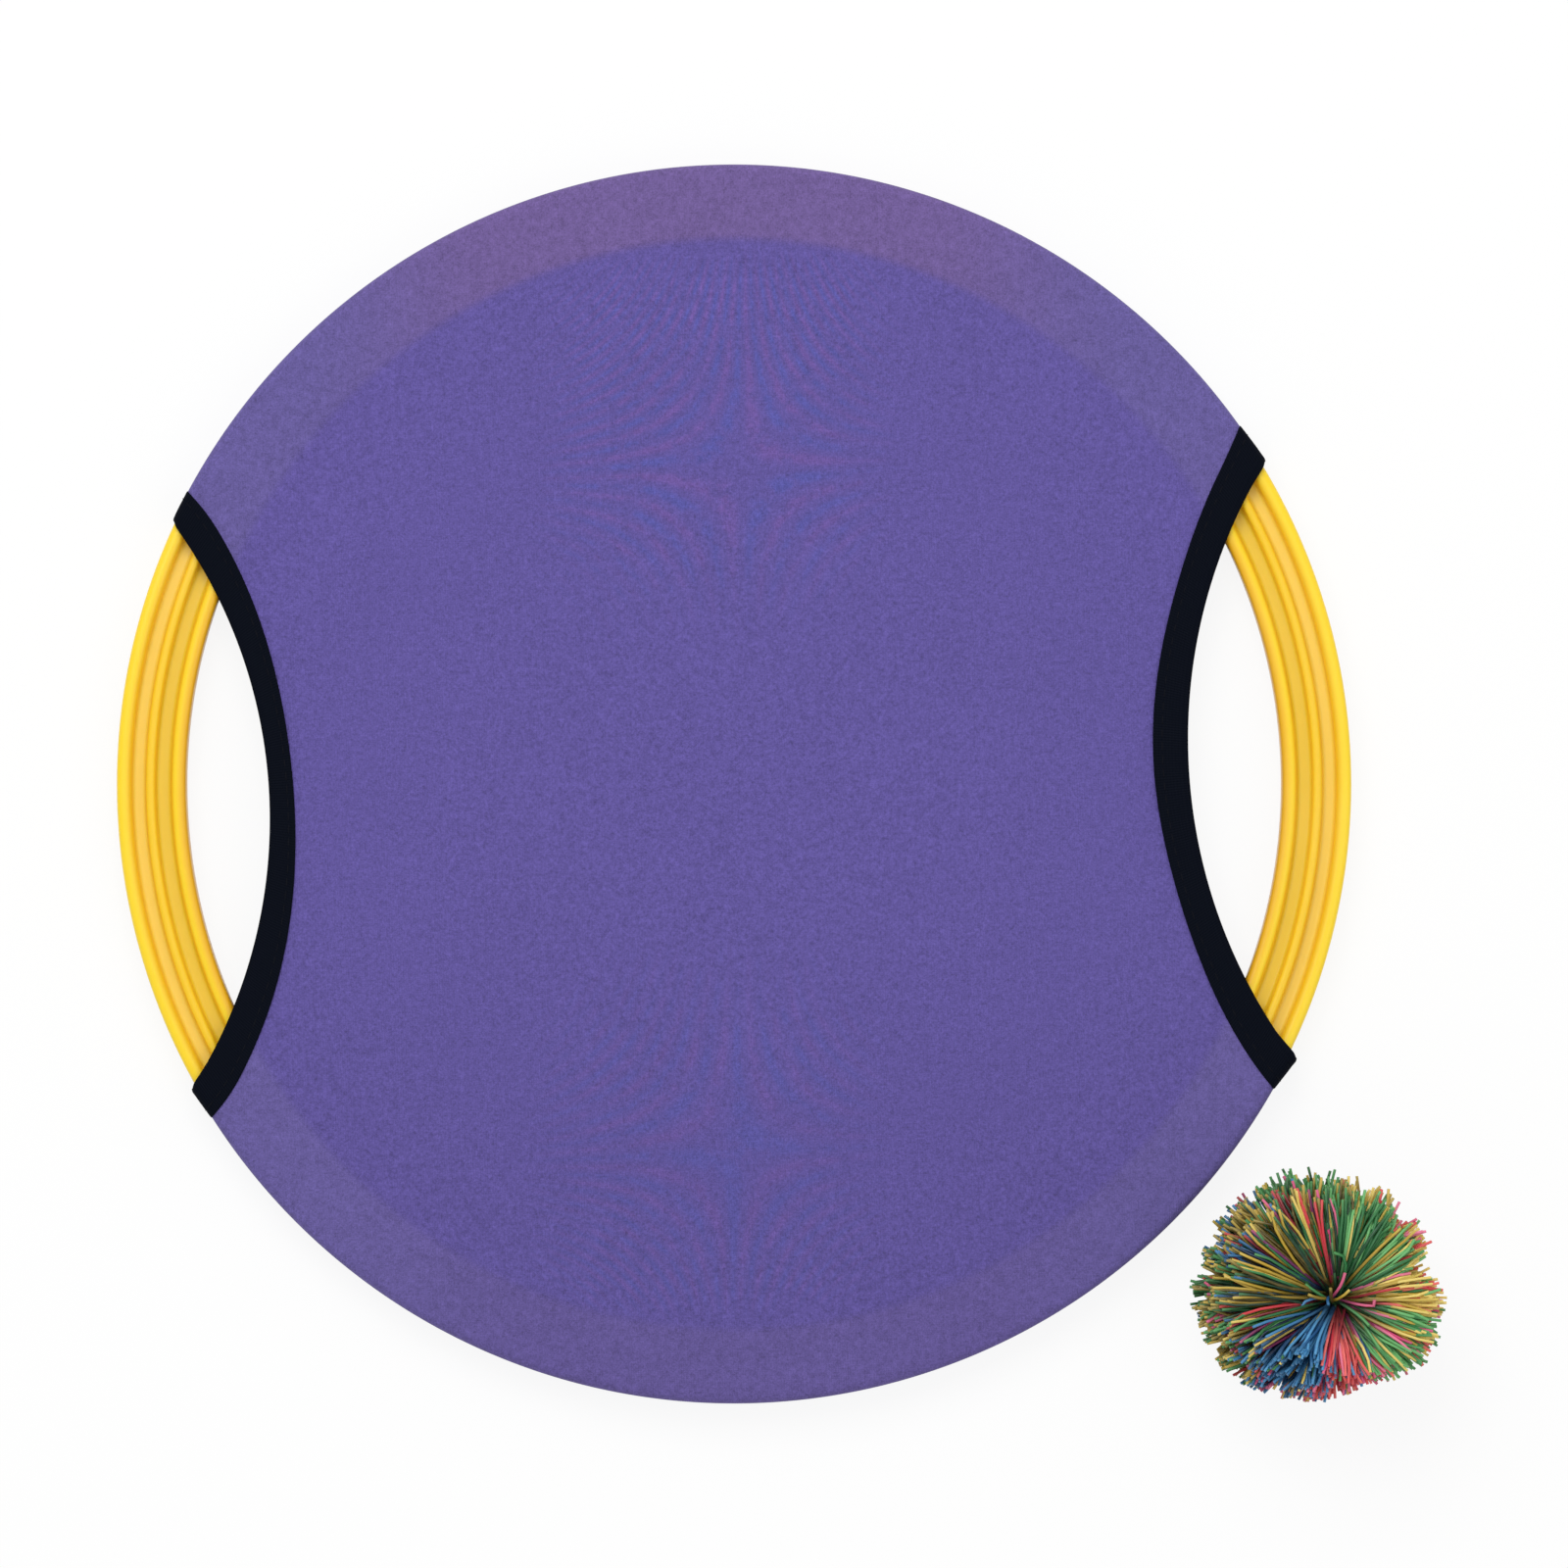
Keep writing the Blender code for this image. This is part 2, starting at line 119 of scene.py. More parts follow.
class Wire:
    """A node socket whose arithmetic adds Math nodes."""

    __add__ = __radd__ = math_method("ADD")
    __sub__ = math_method("SUBTRACT")
    __rsub__ = math_method("SUBTRACT", swapped=True)
    __mul__ = math_method("MULTIPLY")
    __truediv__ = math_method("DIVIDE")
    __pow__ = math_method("POWER")
    sine = math_method("SINE")
    size = math_method("ABSOLUTE")
    root = math_method("SQRT")
    fraction = math_method("FRACT")

    def __init__(self, graph: "Graph", socket: bpy.types.NodeSocket) -> None:
        """Keep the graph and the socket."""
        self.graph = graph
        self.socket = socket

    def ease(self, low: float, high: float) -> "Wire":
        """Return 0 below low, 1 above high and a smooth rise between.

        Args:
            low: The value where the rise starts.
            high: The value where it ends.

        Returns:
            The eased value.
        """
        values = {"Value": self, "From Min": low, "From Max": high}
        return self.graph.node(
            "ShaderNodeMapRange", values, interpolation_type="SMOOTHSTEP", clamp=True)


class Graph:
    """A node tree that is filled from Python."""

    def __init__(self, tree: Tree) -> None:
        """Start from an empty tree."""
        self.tree = tree
        tree.nodes.clear()

    def raw(self, kind: str, values: Values = None, **settings: Any) -> bpy.types.Node:
        """Add a node, set its properties first and its sockets next.

        Args:
            kind: The node's type.
            values: Constants, wires or sockets for its inputs, by name or number.
            **settings: Its properties.

        Returns:
            The node.
        """
        node = self.tree.nodes.new(kind)
        for name, value in settings.items():
            setattr(node, name, value)
        for name, value in (values or {}).items():
            target = node.inputs[name]
            if isinstance(value, Wire):
                value = value.socket
            if isinstance(value, bpy.types.NodeSocket):
                self.tree.links.new(value, target)
            elif target.type == "RGBA" and len(value) == 3:
                target.default_value = (*value, 1.0)
            else:
                target.default_value = value
        return node

    def node(self, kind: str, values: Values = None, output: Any = 0, **settings: Any) -> Wire:
        """Add a node and return one of its outputs as a wire."""
        return Wire(self, self.raw(kind, values, **settings).outputs[output])

    def mix_colour(self, share: Any, first: Any, second: Any, blend: str = "MIX") -> Wire:
        """Mix two colours or wires, the first more where the share is low."""
        values = {0: share, 6: first, 7: second}
        return self.node("ShaderNodeMix", values, 2, data_type="RGBA", blend_type=blend)

    def point(self) -> Wire:
        """Return the point on the piece, in the piece's own coordinates."""
        return self.node("ShaderNodeTexCoord", output="Object")

    def split(self, vector: Wire) -> tuple[Wire, ...]:
        """Return a vector's three coordinates."""
        node = self.raw("ShaderNodeSeparateXYZ", {0: vector})
        return tuple(Wire(self, socket) for socket in node.outputs)

    def attribute(self, name: str) -> Wire:
        """Return one of the mesh's own values."""
        return self.node("ShaderNodeAttribute", output="Fac", attribute_name=name)

    def noise(self, point: Any, scale: float, detail: float = 2.0, roughness: float = 0.5) -> Wire:
        """Return soft noise of a given scale, 0 to 1."""
        values = {"Vector": point, "Scale": scale, "Detail": detail, "Roughness": roughness}
        return self.node("ShaderNodeTexNoise", values)

    def bump(self, height: Wire, distance: float, strength: float = 1.0) -> Wire:
        """Return a normal that a height pattern bends."""
        values = {"Height": height, "Distance": distance, "Strength": strength}
        return self.node("ShaderNodeBump", values, "Normal")

    def seen_by(self, first: str, *others: str) -> Wire:
        """Return 1 for the given kinds of ray and 0 for the rest.

        Args:
            first: The light path's output for the first kind.
            *others: Its outputs for more kinds.

        Returns:
            Their sum.
        """
        path = self.raw("ShaderNodeLightPath").outputs
        total = Wire(self, path[first])
        for name in others:
            total = total + Wire(self, path[name])
        return total


def surface(name: str) -> tuple[Material, Graph]:
    """Make an empty material.

    Args:
        name: Its name.

    Returns:
        The material and its graph.
    """
    material = bpy.data.materials.new(name)
    material.use_nodes = True
    return material, Graph(material.node_tree)


def close_surface(graph: Graph, values: dict[str, Any]) -> None:
    """End a graph in a Principled shader with the given inputs."""
    shader = graph.node("ShaderNodeBsdfPrincipled", values)
    graph.raw("ShaderNodeOutputMaterial", {"Surface": shader})


@dataclass(frozen=True)
class MouldedPlastic:
    """Yellow moulded plastic with painted light: paler thin webs, painted highlights on the ribs
    and painted shade towards the ribs' inner sides.

    The pairs are where a painted light or a painted shade starts and ends, out from the ring's
    middle radius.
    """

    # Painted light: the crest colour paints a highlight on the ribs, the darker rib colour paints
    # their shade, and the paler web colours paint light that passes through the thin webs.
    crest: Colour = linear(247, 213, 36)
    outer_web: Colour = linear(234, 203, 80)
    inner_web: Colour = linear(224, 193, 48)
    groove: Colour = linear(240, 192, 32)
    painted_shade: Colour = linear(230, 170, 22)
    # Painted light: a faint orange emission lifts the ring's shadows, standing in for light that
    # passes through the plastic.
    painted_glow: Colour = linear(255, 184, 30)
    haze: Colour = linear(255, 224, 120)
    painted_glow_power: float = 0.05
    roughness: float = 0.34
    middle_radius: float = 127.4 * MM
    web_wall: Range = (4.6 * MM, 5.3 * MM)
    rib_side: Range = (6.4 * MM, 7.2 * MM)
    web_change: Range = (-0.8 * MM, 0.8 * MM)
    outer_light: Range = (3.7 * MM, 6.2 * MM)
    inner_light: Range = (-7.4 * MM, -4.8 * MM)
    inner_shade: Range = (-3.4 * MM, -2.4 * MM)
    middle_shade: Range = (1.4 * MM, 2.2 * MM)
    middle_share: float = 0.62
    web_rise: float = 1.4 * MM
    crest_fall: Range = (0.75 * MM, 0.03 * MM)

    def build(self, middle: float, web_height: float, crest_height: float) -> Material:
        """Make the material.

        Args:
            middle: Height of the ring's middle plane.
            web_height: Half height of the webs.
            crest_height: Half height of the ribs.

        Returns:
            The material.
        """
        material, graph = surface("moulded_ring_plastic")
        point = graph.point()
        x, y, z = graph.split(point)
        height = (z - middle).size()
        out = (x * x + y * y).root() - self.middle_radius
        away = out.size()
        on_web = 1.0 - height.ease(web_height, web_height + self.web_rise)
        on_web = on_web * (1.0 - away.ease(*self.web_wall))
        on_crest = height.ease(*(crest_height - fall for fall in self.crest_fall))
        side = away.ease(*self.rib_side)
        on_crest = on_crest + side - on_crest * side
        # Painted highlight on part of each rib, painted shade on the rest of it.
        painted_light = out.ease(*self.outer_light)
        painted_light = painted_light + out.ease(*self.inner_light) * (1.0 - out.ease(*self.inner_shade))
        painted_light = painted_light + (1.0 - away.ease(*self.middle_shade)) * self.middle_share
        web = graph.mix_colour(out.ease(*self.web_change), self.inner_web, self.outer_web)
        rib = graph.mix_colour(painted_light, self.painted_shade, self.crest)
        colour = graph.mix_colour(on_web, self.groove, web)
        colour = graph.mix_colour(on_crest, colour, rib)
        cloud = graph.noise(point, 26.0, 3.0)
        colour = graph.mix_colour((cloud - 0.5) * 0.35, colour, self.haze)
        flow = graph.noise(point, 420.0, 3.0, 0.6)
        scuff = graph.noise(point, 1400.0, 2.0, 0.6).ease(0.62, 0.78)
        close_surface(graph, {
            "Base Color": colour,
            "Roughness": self.roughness + (flow - 0.5) * 0.12 + scuff * 0.10,
            "Normal": graph.bump(flow + scuff * 0.4, 0.03 * MM, 0.6),
            "Subsurface Weight": 0.12, "Subsurface Radius": (1.0, 0.62, 0.12),
            "Subsurface Scale": 1.6 * MM, "IOR": 1.49,
            "Emission Color": self.painted_glow, "Emission Strength": self.painted_glow_power,
        })
        return material


@dataclass(frozen=True)
class Speckle:
    """One layer of uneven tone: its noise and how strongly it counts."""

    scale: float
    detail: float
    roughness: float
    weight: float


@dataclass(frozen=True)
class StretchKnit:
    """Fine purple stretch knit over the ring, with the faint fringes of its two layers and some
    painted light and shade.
    """

    colour: Colour = linear(96, 84, 156)
    over_ring: Colour = linear(98, 85, 149)
    # Painted light: over_ring_lit makes the band over the ring lighter and warmer towards the top.
    over_ring_lit: Colour = linear(111, 91, 150)
    over_ring_side: Colour = linear(101, 90, 154)
    pink_thread: Colour = linear(113, 86, 159)
    blue_thread: Colour = linear(85, 88, 168)
    sheen_tint: Colour = (0.75, 0.68, 0.95)
    ring_inner: float = 119.4 * MM
    wale_pitch: float = 0.52 * MM
    course_pitch: float = 0.44 * MM
    speckles: tuple[Speckle, ...] = (
        Speckle(1250.0, 3.0, 0.75, 0.96), Speckle(2500.0, 2.0, 0.7, 0.58),
        Speckle(540.0, 2.0, 0.6, 0.42), Speckle(60.0, 3.0, 0.55, 0.10),
    )
    base_tone: float = 0.95
    fringe_x: float = -3.0 * MM
    fringe_high: float = 68.8 * MM
    fringe_low: float = -80.5 * MM
    fringe_lean: float = 0.05
    fringe_left: float = 6.0 * MM
    fringe_rate: float = 52000.0
    phase_above: float = 0.3
    phase_drop: float = 1.7

    def fringes(self, graph: Graph, point: Wire, x: Wire, y: Wire) -> Wire:
        """Return the faint saddle-shaped fringes, -1 to 1.

        Args:
            graph: The material's graph.
            point: The point on the cloth.
            x: Coordinate across the paddle.
            y: Coordinate along it.

        Returns:
            The fringe pattern, faded out towards the edges.
        """
        across = x - self.fringe_x - (y - self.fringe_low) * self.fringe_lean
        saddle = across * (y - self.fringe_high) * (y - self.fringe_low)
        span = self.fringe_high - self.fringe_low
        phase = saddle * (self.fringe_rate / span) + (graph.noise(point, 45.0, 1.0) - 0.5) * 2.0
        below = (0.0 - y).ease(15.0 * MM, 55.0 * MM)
        phase = phase + self.phase_above - below * self.phase_drop
        wide = 1.0 - (across + self.fringe_left).size().ease(16.0 * MM, 54.0 * MM)
        tall = 1.0 - y.size().ease(108.0 * MM, 121.0 * MM)
        away = y.size().ease(22.0 * MM, 66.0 * MM) * 0.85 + 0.15
        broken = graph.noise(point, 240.0, 3.0, 0.7).ease(0.30, 0.62) * 0.75 + 0.25
        return phase.sine() * wide * tall * away * broken

    def colouring(self, graph: Graph, point: Wire, over: Wire) -> Wire:
        """Return the cloth's colour before its grain, with painted light on the band over the ring.

        Args:
            graph: The material's graph.
            point: The point on the cloth.
            over: 1 where the cloth lies on the ring, else 0.

        Returns:
            The colour.
        """
        x, y, _ = graph.split(point)
        fringe = self.fringes(graph, point, x, y)
        tint = y.ease(10.0 * MM, 60.0 * MM) * 0.26 + 0.48
        colour = graph.mix_colour(fringe.ease(0.1, 1.1) * tint, self.colour, self.pink_thread)
        colour = graph.mix_colour((0.0 - fringe).ease(0.1, 1.1) * tint, colour, self.blue_thread)
        # Painted light: the band over the ring turns lighter towards the top.
        high = (y / self.ring_inner).ease(0.45, 1.05)
        band = graph.mix_colour(high, self.over_ring, self.over_ring_lit)
        beside = x.size().ease(45.0 * MM, 95.0 * MM)
        return graph.mix_colour(over, colour, graph.mix_colour(beside, band, self.over_ring_side))

    def build(self) -> Material:
        """Make the material.

        Returns:
            The material.
        """
        material, graph = surface("stretch_knit")
        point = graph.point()
        x, y, _ = graph.split(point)
        radius = (x * x + y * y).root()
        over = radius.ease(self.ring_inner - 1.5 * MM, self.ring_inner + 1.1 * MM)
        wobble = graph.noise(point, 900.0, 2.0, 0.6)
        wale = ((x / self.wale_pitch + wobble * 0.35).fraction() * 2.0 - 1.0).size()
        course = (y / self.course_pitch + wale * 0.5 + wobble * 0.3).fraction() * 2.0 - 1.0
        stitch = (1.0 - wale ** 2.0) * (1.0 - course.size() ** 2.0 * 0.6)
        shade = self.base_tone + stitch * 0.03
        noises = [graph.noise(point, *astuple(item)[:3]) for item in self.speckles]
        for noise, item in zip(noises, self.speckles):
            shade = shade + (noise - 0.5) * item.weight
        # Painted shade: a faint dark line along the ring's inner edge.
        crease_shade = 1.0 - (radius - self.ring_inner).size().ease(0.2 * MM, 0.9 * MM)
        # Painted shade: the open cloth darker towards the bottom.
        lower = (0.0 - y).ease(10.0 * MM, 120.0 * MM) * (1.0 - over)
        shade = shade - crease_shade * 0.03 - lower * 0.06
        level = graph.node("ShaderNodeCombineColor", {0: shade, 1: shade, 2: shade})
        colour = graph.mix_colour(1.0, self.colouring(graph, point, over), level, "MULTIPLY")
        grain = noises[0]
        close_surface(graph, {
            "Base Color": colour, "Roughness": 0.82 + (grain - 0.5) * 0.12,
            "Normal": graph.bump(stitch + grain * 0.35, 0.10 * MM, 0.75),
            "Sheen Weight": 0.22, "Sheen Roughness": 0.45, "Sheen Tint": self.sheen_tint,
            "Specular IOR Level": 0.25,
        })
        return material


@dataclass(frozen=True)
class WovenTape:
    """Near-black ribbed tape; its ribs follow the piece's own UV map, in metres."""

    colour: Colour = linear(2, 6, 17)
    worn: Colour = linear(17, 21, 32)
    rib_pitch: float = 0.55 * MM
    warp_pitch: float = 0.42 * MM

    def build(self) -> Material:
        """Make the material.

        Returns:
            The material.
        """
        material, graph = surface("woven_tape")
        point = graph.point()
        along, across, _ = graph.split(graph.node("ShaderNodeUVMap", uv_map="strip"))
        grain = graph.noise(point, 2300.0, 2.0, 0.7)
        rib = (along * (math.pi / self.rib_pitch) + grain * 0.8).sine().size()
        warp = (across * (math.pi / self.warp_pitch)).sine().size()
        weave = rib * 0.7 + warp * 0.3
        lint = graph.noise(point, 3400.0, 1.0, 0.5).ease(0.68, 0.80)
        close_surface(graph, {
            "Base Color": graph.mix_colour(weave * 0.35 + lint * 0.25, self.colour, self.worn),
            "Roughness": 0.84 - weave * 0.10,
            "Normal": graph.bump(weave + grain * 0.3, 0.10 * MM, 0.8),
            "Specular IOR Level": 0.06,
        })
        return material


@dataclass(frozen=True)
class SewingThread:
    """Twisted thread in one colour."""

    name: str
    colour: Colour
    twist_rate: float = 9000.0

    def build(self) -> Material:
        """Make the material.

        Returns:
            The material.
        """
        material, graph = surface(self.name)
        point = graph.point()
        x, y, z = graph.split(point)
        twist = ((x + y + z * 1.7) * self.twist_rate).sine()
        fuzz = graph.noise(point, 2600.0, 2.0)
        light = tuple(min(1.0, level * 1.5 + 0.001) for level in self.colour)
        tone = twist.ease(-1.0, 1.0) * 0.4 + fuzz * 0.2
        close_surface(graph, {
            "Base Color": graph.mix_colour(tone, self.colour, light),
            "Roughness": 0.7 + (fuzz - 0.5) * 0.2,
            "Normal": graph.bump(twist * 0.5 + fuzz, 0.05 * MM, 0.6),
            "Specular IOR Level": 0.1,
        })
        return material


class Rubber(Enum):
    """The strand colours: dark, middle and light of each."""

    GREEN = ((12, 48, 32), (36, 112, 58), (112, 184, 112))
    YELLOW = ((84, 72, 22), (184, 152, 44), (240, 214, 118))
    BLUE = ((10, 32, 62), (20, 82, 134), (84, 154, 202))
    RED = ((110, 22, 38), (206, 46, 58), (242, 112, 106))
    PINK = ((104, 28, 84), (206, 54, 116), (240, 128, 158))

    @property
    def slot(self) -> str:
        """The record's material slot of this colour."""
        return f"{self.name.lower()}_rubber"

    def build(self) -> Material:
        """Make the soft rubber of this colour; its tone follows each strand's own value.

        Returns:
            The material.
        """
        dark, middle, light = (linear(*shade) for shade in self.value)
        painted_shade = tuple(level * 0.45 for level in dark)
        material, graph = surface(f"soft_{self.name.lower()}_rubber")
        tone, pit, along = (graph.attribute(name) for name in ("tone", "pit", "along"))
        dust = graph.noise(graph.point(), 900.0, 3.0, 0.6)
        colour = graph.mix_colour(tone.ease(0.0, 0.5), dark, middle)
        for share, other in (
            (tone.ease(0.5, 1.0), light),
            # Painted light: the strands' tips lighter.
            (along.ease(0.88, 1.0) * 0.35, light),
            # Painted shade: darker towards the roots and in the dent.
            ((1.0 - along.ease(0.14, 0.72)) * 0.93, painted_shade),
            ((1.0 - along.ease(0.35, 0.80)) * pit * 0.8, painted_shade),
            # Painted light: more of it on light strands' tips.
            (along.ease(0.72, 1.0) * tone * 0.35, light),
            ((dust - 0.5) * 0.4, light),
        ):
            colour = graph.mix_colour(share, colour, other)
        close_surface(graph, {
            "Base Color": colour, "Roughness": 0.42 + (dust - 0.5) * 0.25,
            "Normal": graph.bump(dust, 0.05 * MM, 0.5),
            "Subsurface Weight": 0.08, "Subsurface Radius": (1.0, 0.8, 0.6),
            "Subsurface Scale": 0.8 * MM,
        })
        return material


@dataclass(frozen=True)
class StudioFloor:
    """Plain white floor that keeps a soft shadow."""

    colour: Colour = (0.93, 0.93, 0.93)
    lift: float = 0.88

    def build(self) -> Material:
        """Make the material: diffuse white, lifted towards plain white where a camera sees it.

        Returns:
            The material.
        """
        material, graph = surface("studio_floor")
        seen = graph.seen_by("Is Camera Ray", "Is Glossy Ray", "Is Transmission Ray")
        plain = graph.node("ShaderNodeBsdfDiffuse", {"Color": self.colour})
        white = graph.node("ShaderNodeEmission", {"Color": WHITE, "Strength": 1.0})
        mixed = graph.node("ShaderNodeMixShader", {0: seen * self.lift, 1: plain, 2: white})
        graph.raw("ShaderNodeOutputMaterial", {"Surface": mixed})
        return material


def add_object(name: str, data: Any) -> Piece:
    """Add an object to the scene.

    Args:
        name: Its name.
        data: Its mesh, lamp or lens.

    Returns:
        The object.
    """
    item = bpy.data.objects.new(name, data)
    bpy.context.scene.collection.objects.link(item)
    return item


def add_grid(
    name: str,
    points: np.ndarray,
    close_rows: bool,
    close_columns: bool,
    flip: bool = False,
) -> Piece:
    """Make a mesh object from rows of points.

    Args:
        name: The piece's name.
        points: Rows by columns by 3.
        close_rows: Join the last row to the first.
        close_columns: Join the last column to the first.
        flip: Turn the faces round.

    Returns:
        The object.
    """
    rows, columns = points.shape[:2]
    row_count = rows if close_rows else rows - 1
    column_count = columns if close_columns else columns - 1
    row = np.repeat(np.arange(row_count), column_count)
    column = np.tile(np.arange(column_count), row_count)
    next_row = (row + 1) % rows
    next_column = (column + 1) % columns
    corners = [
        row * columns + column,
        next_row * columns + column,
        next_row * columns + next_column,
        row * columns + next_column,
    ]
    faces = np.stack(corners[::-1] if flip else corners, axis=1)
    mesh = bpy.data.meshes.new(name)
    mesh.from_pydata(points.reshape(-1, 3).tolist(), [], faces.tolist())
    mesh.polygons.foreach_set("use_smooth", np.ones(len(mesh.polygons), dtype=bool))
    mesh.update()
    return add_object(name, mesh)


def finish_piece(
    piece: Piece,
    material: Material,
    nodes: Iterable[str] = (),
) -> Piece:
    """Dress a piece, tie it to the body and note what it stands for.

    Args:
        piece: The finished object.
        material: Its material.
        nodes: The solids that it replaces.

    Returns:
        The piece.
    """
    piece.data.materials.clear()
    piece.data.materials.append(material)
    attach(piece, ROOT_BODY)
    names = list(nodes)
    if names:
        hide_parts(*names)
    stands_for = names or "itself"
    LOG.info("%s: %d faces, stands for %s", piece.name, len(piece.data.polygons), stands_for)
    return piece


def mesh_from_nodes(
    source: Piece,
    tree: Tree,
    settings: dict[str, Any],
) -> Piece:
    """Run a geometry tree on an object and keep the result as its plain mesh.

    Args:
        source: The object that carries the paths.
        tree: The geometry tree.
        settings: Values of its named inputs.

    Returns:
        The object with its final mesh and no modifier.
    """
    modifier = source.modifiers.new(tree.name, "NODES")
    modifier.node_group = tree
    inputs = (item for item in tree.interface.items_tree if item.in_out == "INPUT")
    ids = {item.name: item.identifier for item in inputs}
    for name, value in settings.items():
        modifier[ids[name]] = value
    shown = bpy.context.evaluated_depsgraph_get()
    shown.update()
    mesh = bpy.data.meshes.new_from_object(source.evaluated_get(shown))
    source.modifiers.remove(modifier)
    old = source.data
    source.data = mesh
    bpy.data.meshes.remove(old)
    mesh.name = source.name
    return source


def add_paths(name: str, paths: Sequence[np.ndarray], closed: bool) -> Piece:
    """Make an object of plain edges along paths.

    Args:
        name: The object's name.
        paths: Each path's points.
        closed: Join each path's ends.

    Returns:
        The object.
    """
    edges: list[tuple[int, int]] = []
    first = 0
    for path in paths:
        last = first + len(path) - 1
        edges.extend((step, step + 1) for step in range(first, last))
        if closed:
            edges.append((last, first))
        first = last + 1
    mesh = bpy.data.meshes.new(name)
    mesh.from_pydata(np.concatenate(paths).tolist(), edges, [])
    return add_object(name, mesh)


def geometry_graph(
    name: str, inputs: dict[str, float | int | None],
) -> tuple[Graph, bpy.types.Node]:
    """Start a geometry tree with named inputs.

    Args:
        name: The tree's name.
        inputs: The default of each input after the geometry; None stands for a material.

    Returns:
        The graph and its input node.
    """
    tree = bpy.data.node_groups.new(name, "GeometryNodeTree")
    tree.interface.new_socket(name="Geometry", in_out="INPUT", socket_type="NodeSocketGeometry")
    for label, value in inputs.items():
        kind = SOCKET_TYPES[type(value)]
        socket = tree.interface.new_socket(name=label, in_out="INPUT", socket_type=kind)
        if value is not None:
            socket.default_value = value
    tree.interface.new_socket(name="Geometry", in_out="OUTPUT", socket_type="NodeSocketGeometry")
    graph = Graph(tree)
    return graph, graph.raw("NodeGroupInput")


def close_geometry(graph: Graph, geometry: Wire, material: bpy.types.NodeSocket) -> Tree:
    """End a geometry tree: make its instances real and give them the material.

    Args:
        graph: The tree's graph.
        geometry: What it made.
        material: Its material input.

    Returns:
        The tree.
    """
    real = graph.node("GeometryNodeRealizeInstances", {0: geometry})
    dressed = graph.node("GeometryNodeSetMaterial", {"Geometry": real, "Material": material})
    graph.raw("NodeGroupOutput", {0: dressed})
    return graph.tree


def stitch_tree() -> Tree:
    """Build the tree that lays stitches along paths.

    Returns:
        The tree.
    """
    graph, given = geometry_graph("stitch_rows", {
        "Pitch": 2.6 * MM,
        "Stitch Length": 1.9 * MM,
        "Thread Width": 0.30 * MM,
        "Seed": 3,
        "Material": None,
    })
    out = given.outputs
    curve = graph.node("GeometryNodeMeshToCurve", {0: out["Geometry"]})
    spaced = graph.raw(
        "GeometryNodeCurveToPoints", {"Curve": curve, "Length": out["Pitch"]}, mode="LENGTH")
    ball = graph.node("GeometryNodeMeshIcoSphere", {"Radius": 0.5, "Subdivisions": 2})
    soft = graph.node("GeometryNodeSetShadeSmooth", {0: ball})
    lie = graph.node(
        "FunctionNodeAlignRotationToVector", {"Vector": spaced.outputs["Tangent"]}, axis="Z")
    spread = graph.node(
        "FunctionNodeRandomValue", {2: 0.92, 3: 1.08, "Seed": out["Seed"]}, 1, data_type="FLOAT")
    width = out["Thread Width"]
    size = graph.node(
        "ShaderNodeCombineXYZ", {0: width, 1: width, 2: Wire(graph, out["Stitch Length"]) * spread})
    placed = graph.node("GeometryNodeInstanceOnPoints", {
        "Points": spaced.outputs["Points"], "Instance": soft, "Rotation": lie, "Scale": size})
    return close_geometry(graph, placed, out["Material"])


def strand_tree() -> Tree:
    """Build the tree that turns guide lines into square rubber strands.

    Returns:
        The tree.
    """
    graph, given = geometry_graph("rubber_strands", {
        "Width": 0.56 * MM,
        "Segments": 8,
        "Ruffle": 0.8 * MM,
        "Ruffle Scale": 120.0,
        "Root Share": 0.55,
        "Seed": 5,
        "Material": None,
    })
    out = given.outputs
    curve = graph.node("GeometryNodeMeshToCurve", {0: out["Geometry"]})
    even = graph.node(
        "GeometryNodeResampleCurve", {"Curve": curve, "Count": out["Segments"]}, mode="COUNT")
    share = graph.node("GeometryNodeSplineParameter", output="Factor")
    place = graph.node("GeometryNodeInputPosition")
    seed_shift = graph.node("ShaderNodeCombineXYZ", {0: out["Seed"]})
    shifted = graph.node("ShaderNodeVectorMath", {0: place, 1: seed_shift}, operation="ADD")
    wave = graph.node("ShaderNodeTexNoise", {
        "Vector": shifted, "Scale": out["Ruffle Scale"], "Detail": 1.0}, "Color")
    centred = graph.node(
        "ShaderNodeVectorMath", {0: wave, 1: (0.5, 0.5, 0.5)}, operation="SUBTRACT")
    reach = share * share * Wire(graph, out["Ruffle"]) * 2.0
    push = graph.node("ShaderNodeVectorMath", {0: centred, "Scale": reach}, operation="SCALE")
    bent = graph.node("GeometryNodeSetPosition", {"Geometry": even, "Offset": push})
    root = Wire(graph, out["Root Share"])
    girth = root + share.ease(0.0, 0.45) * (1.0 - root)
    sized = graph.node("GeometryNodeSetCurveRadius", {"Curve": bent, "Radius": girth})
    noted = graph.node(
        "GeometryNodeStoreNamedAttribute", {"Geometry": sized, "Name": "along", "Value": share},
        data_type="FLOAT", domain="POINT")
    square = graph.node(
        "GeometryNodeCurvePrimitiveQuadrilateral", {"Width": out["Width"], "Height": out["Width"]})
    swept = graph.node("GeometryNodeCurveToMesh", {
        "Curve": noted, "Profile Curve": square, "Fill Caps": True})
    return close_geometry(graph, swept, out["Material"])


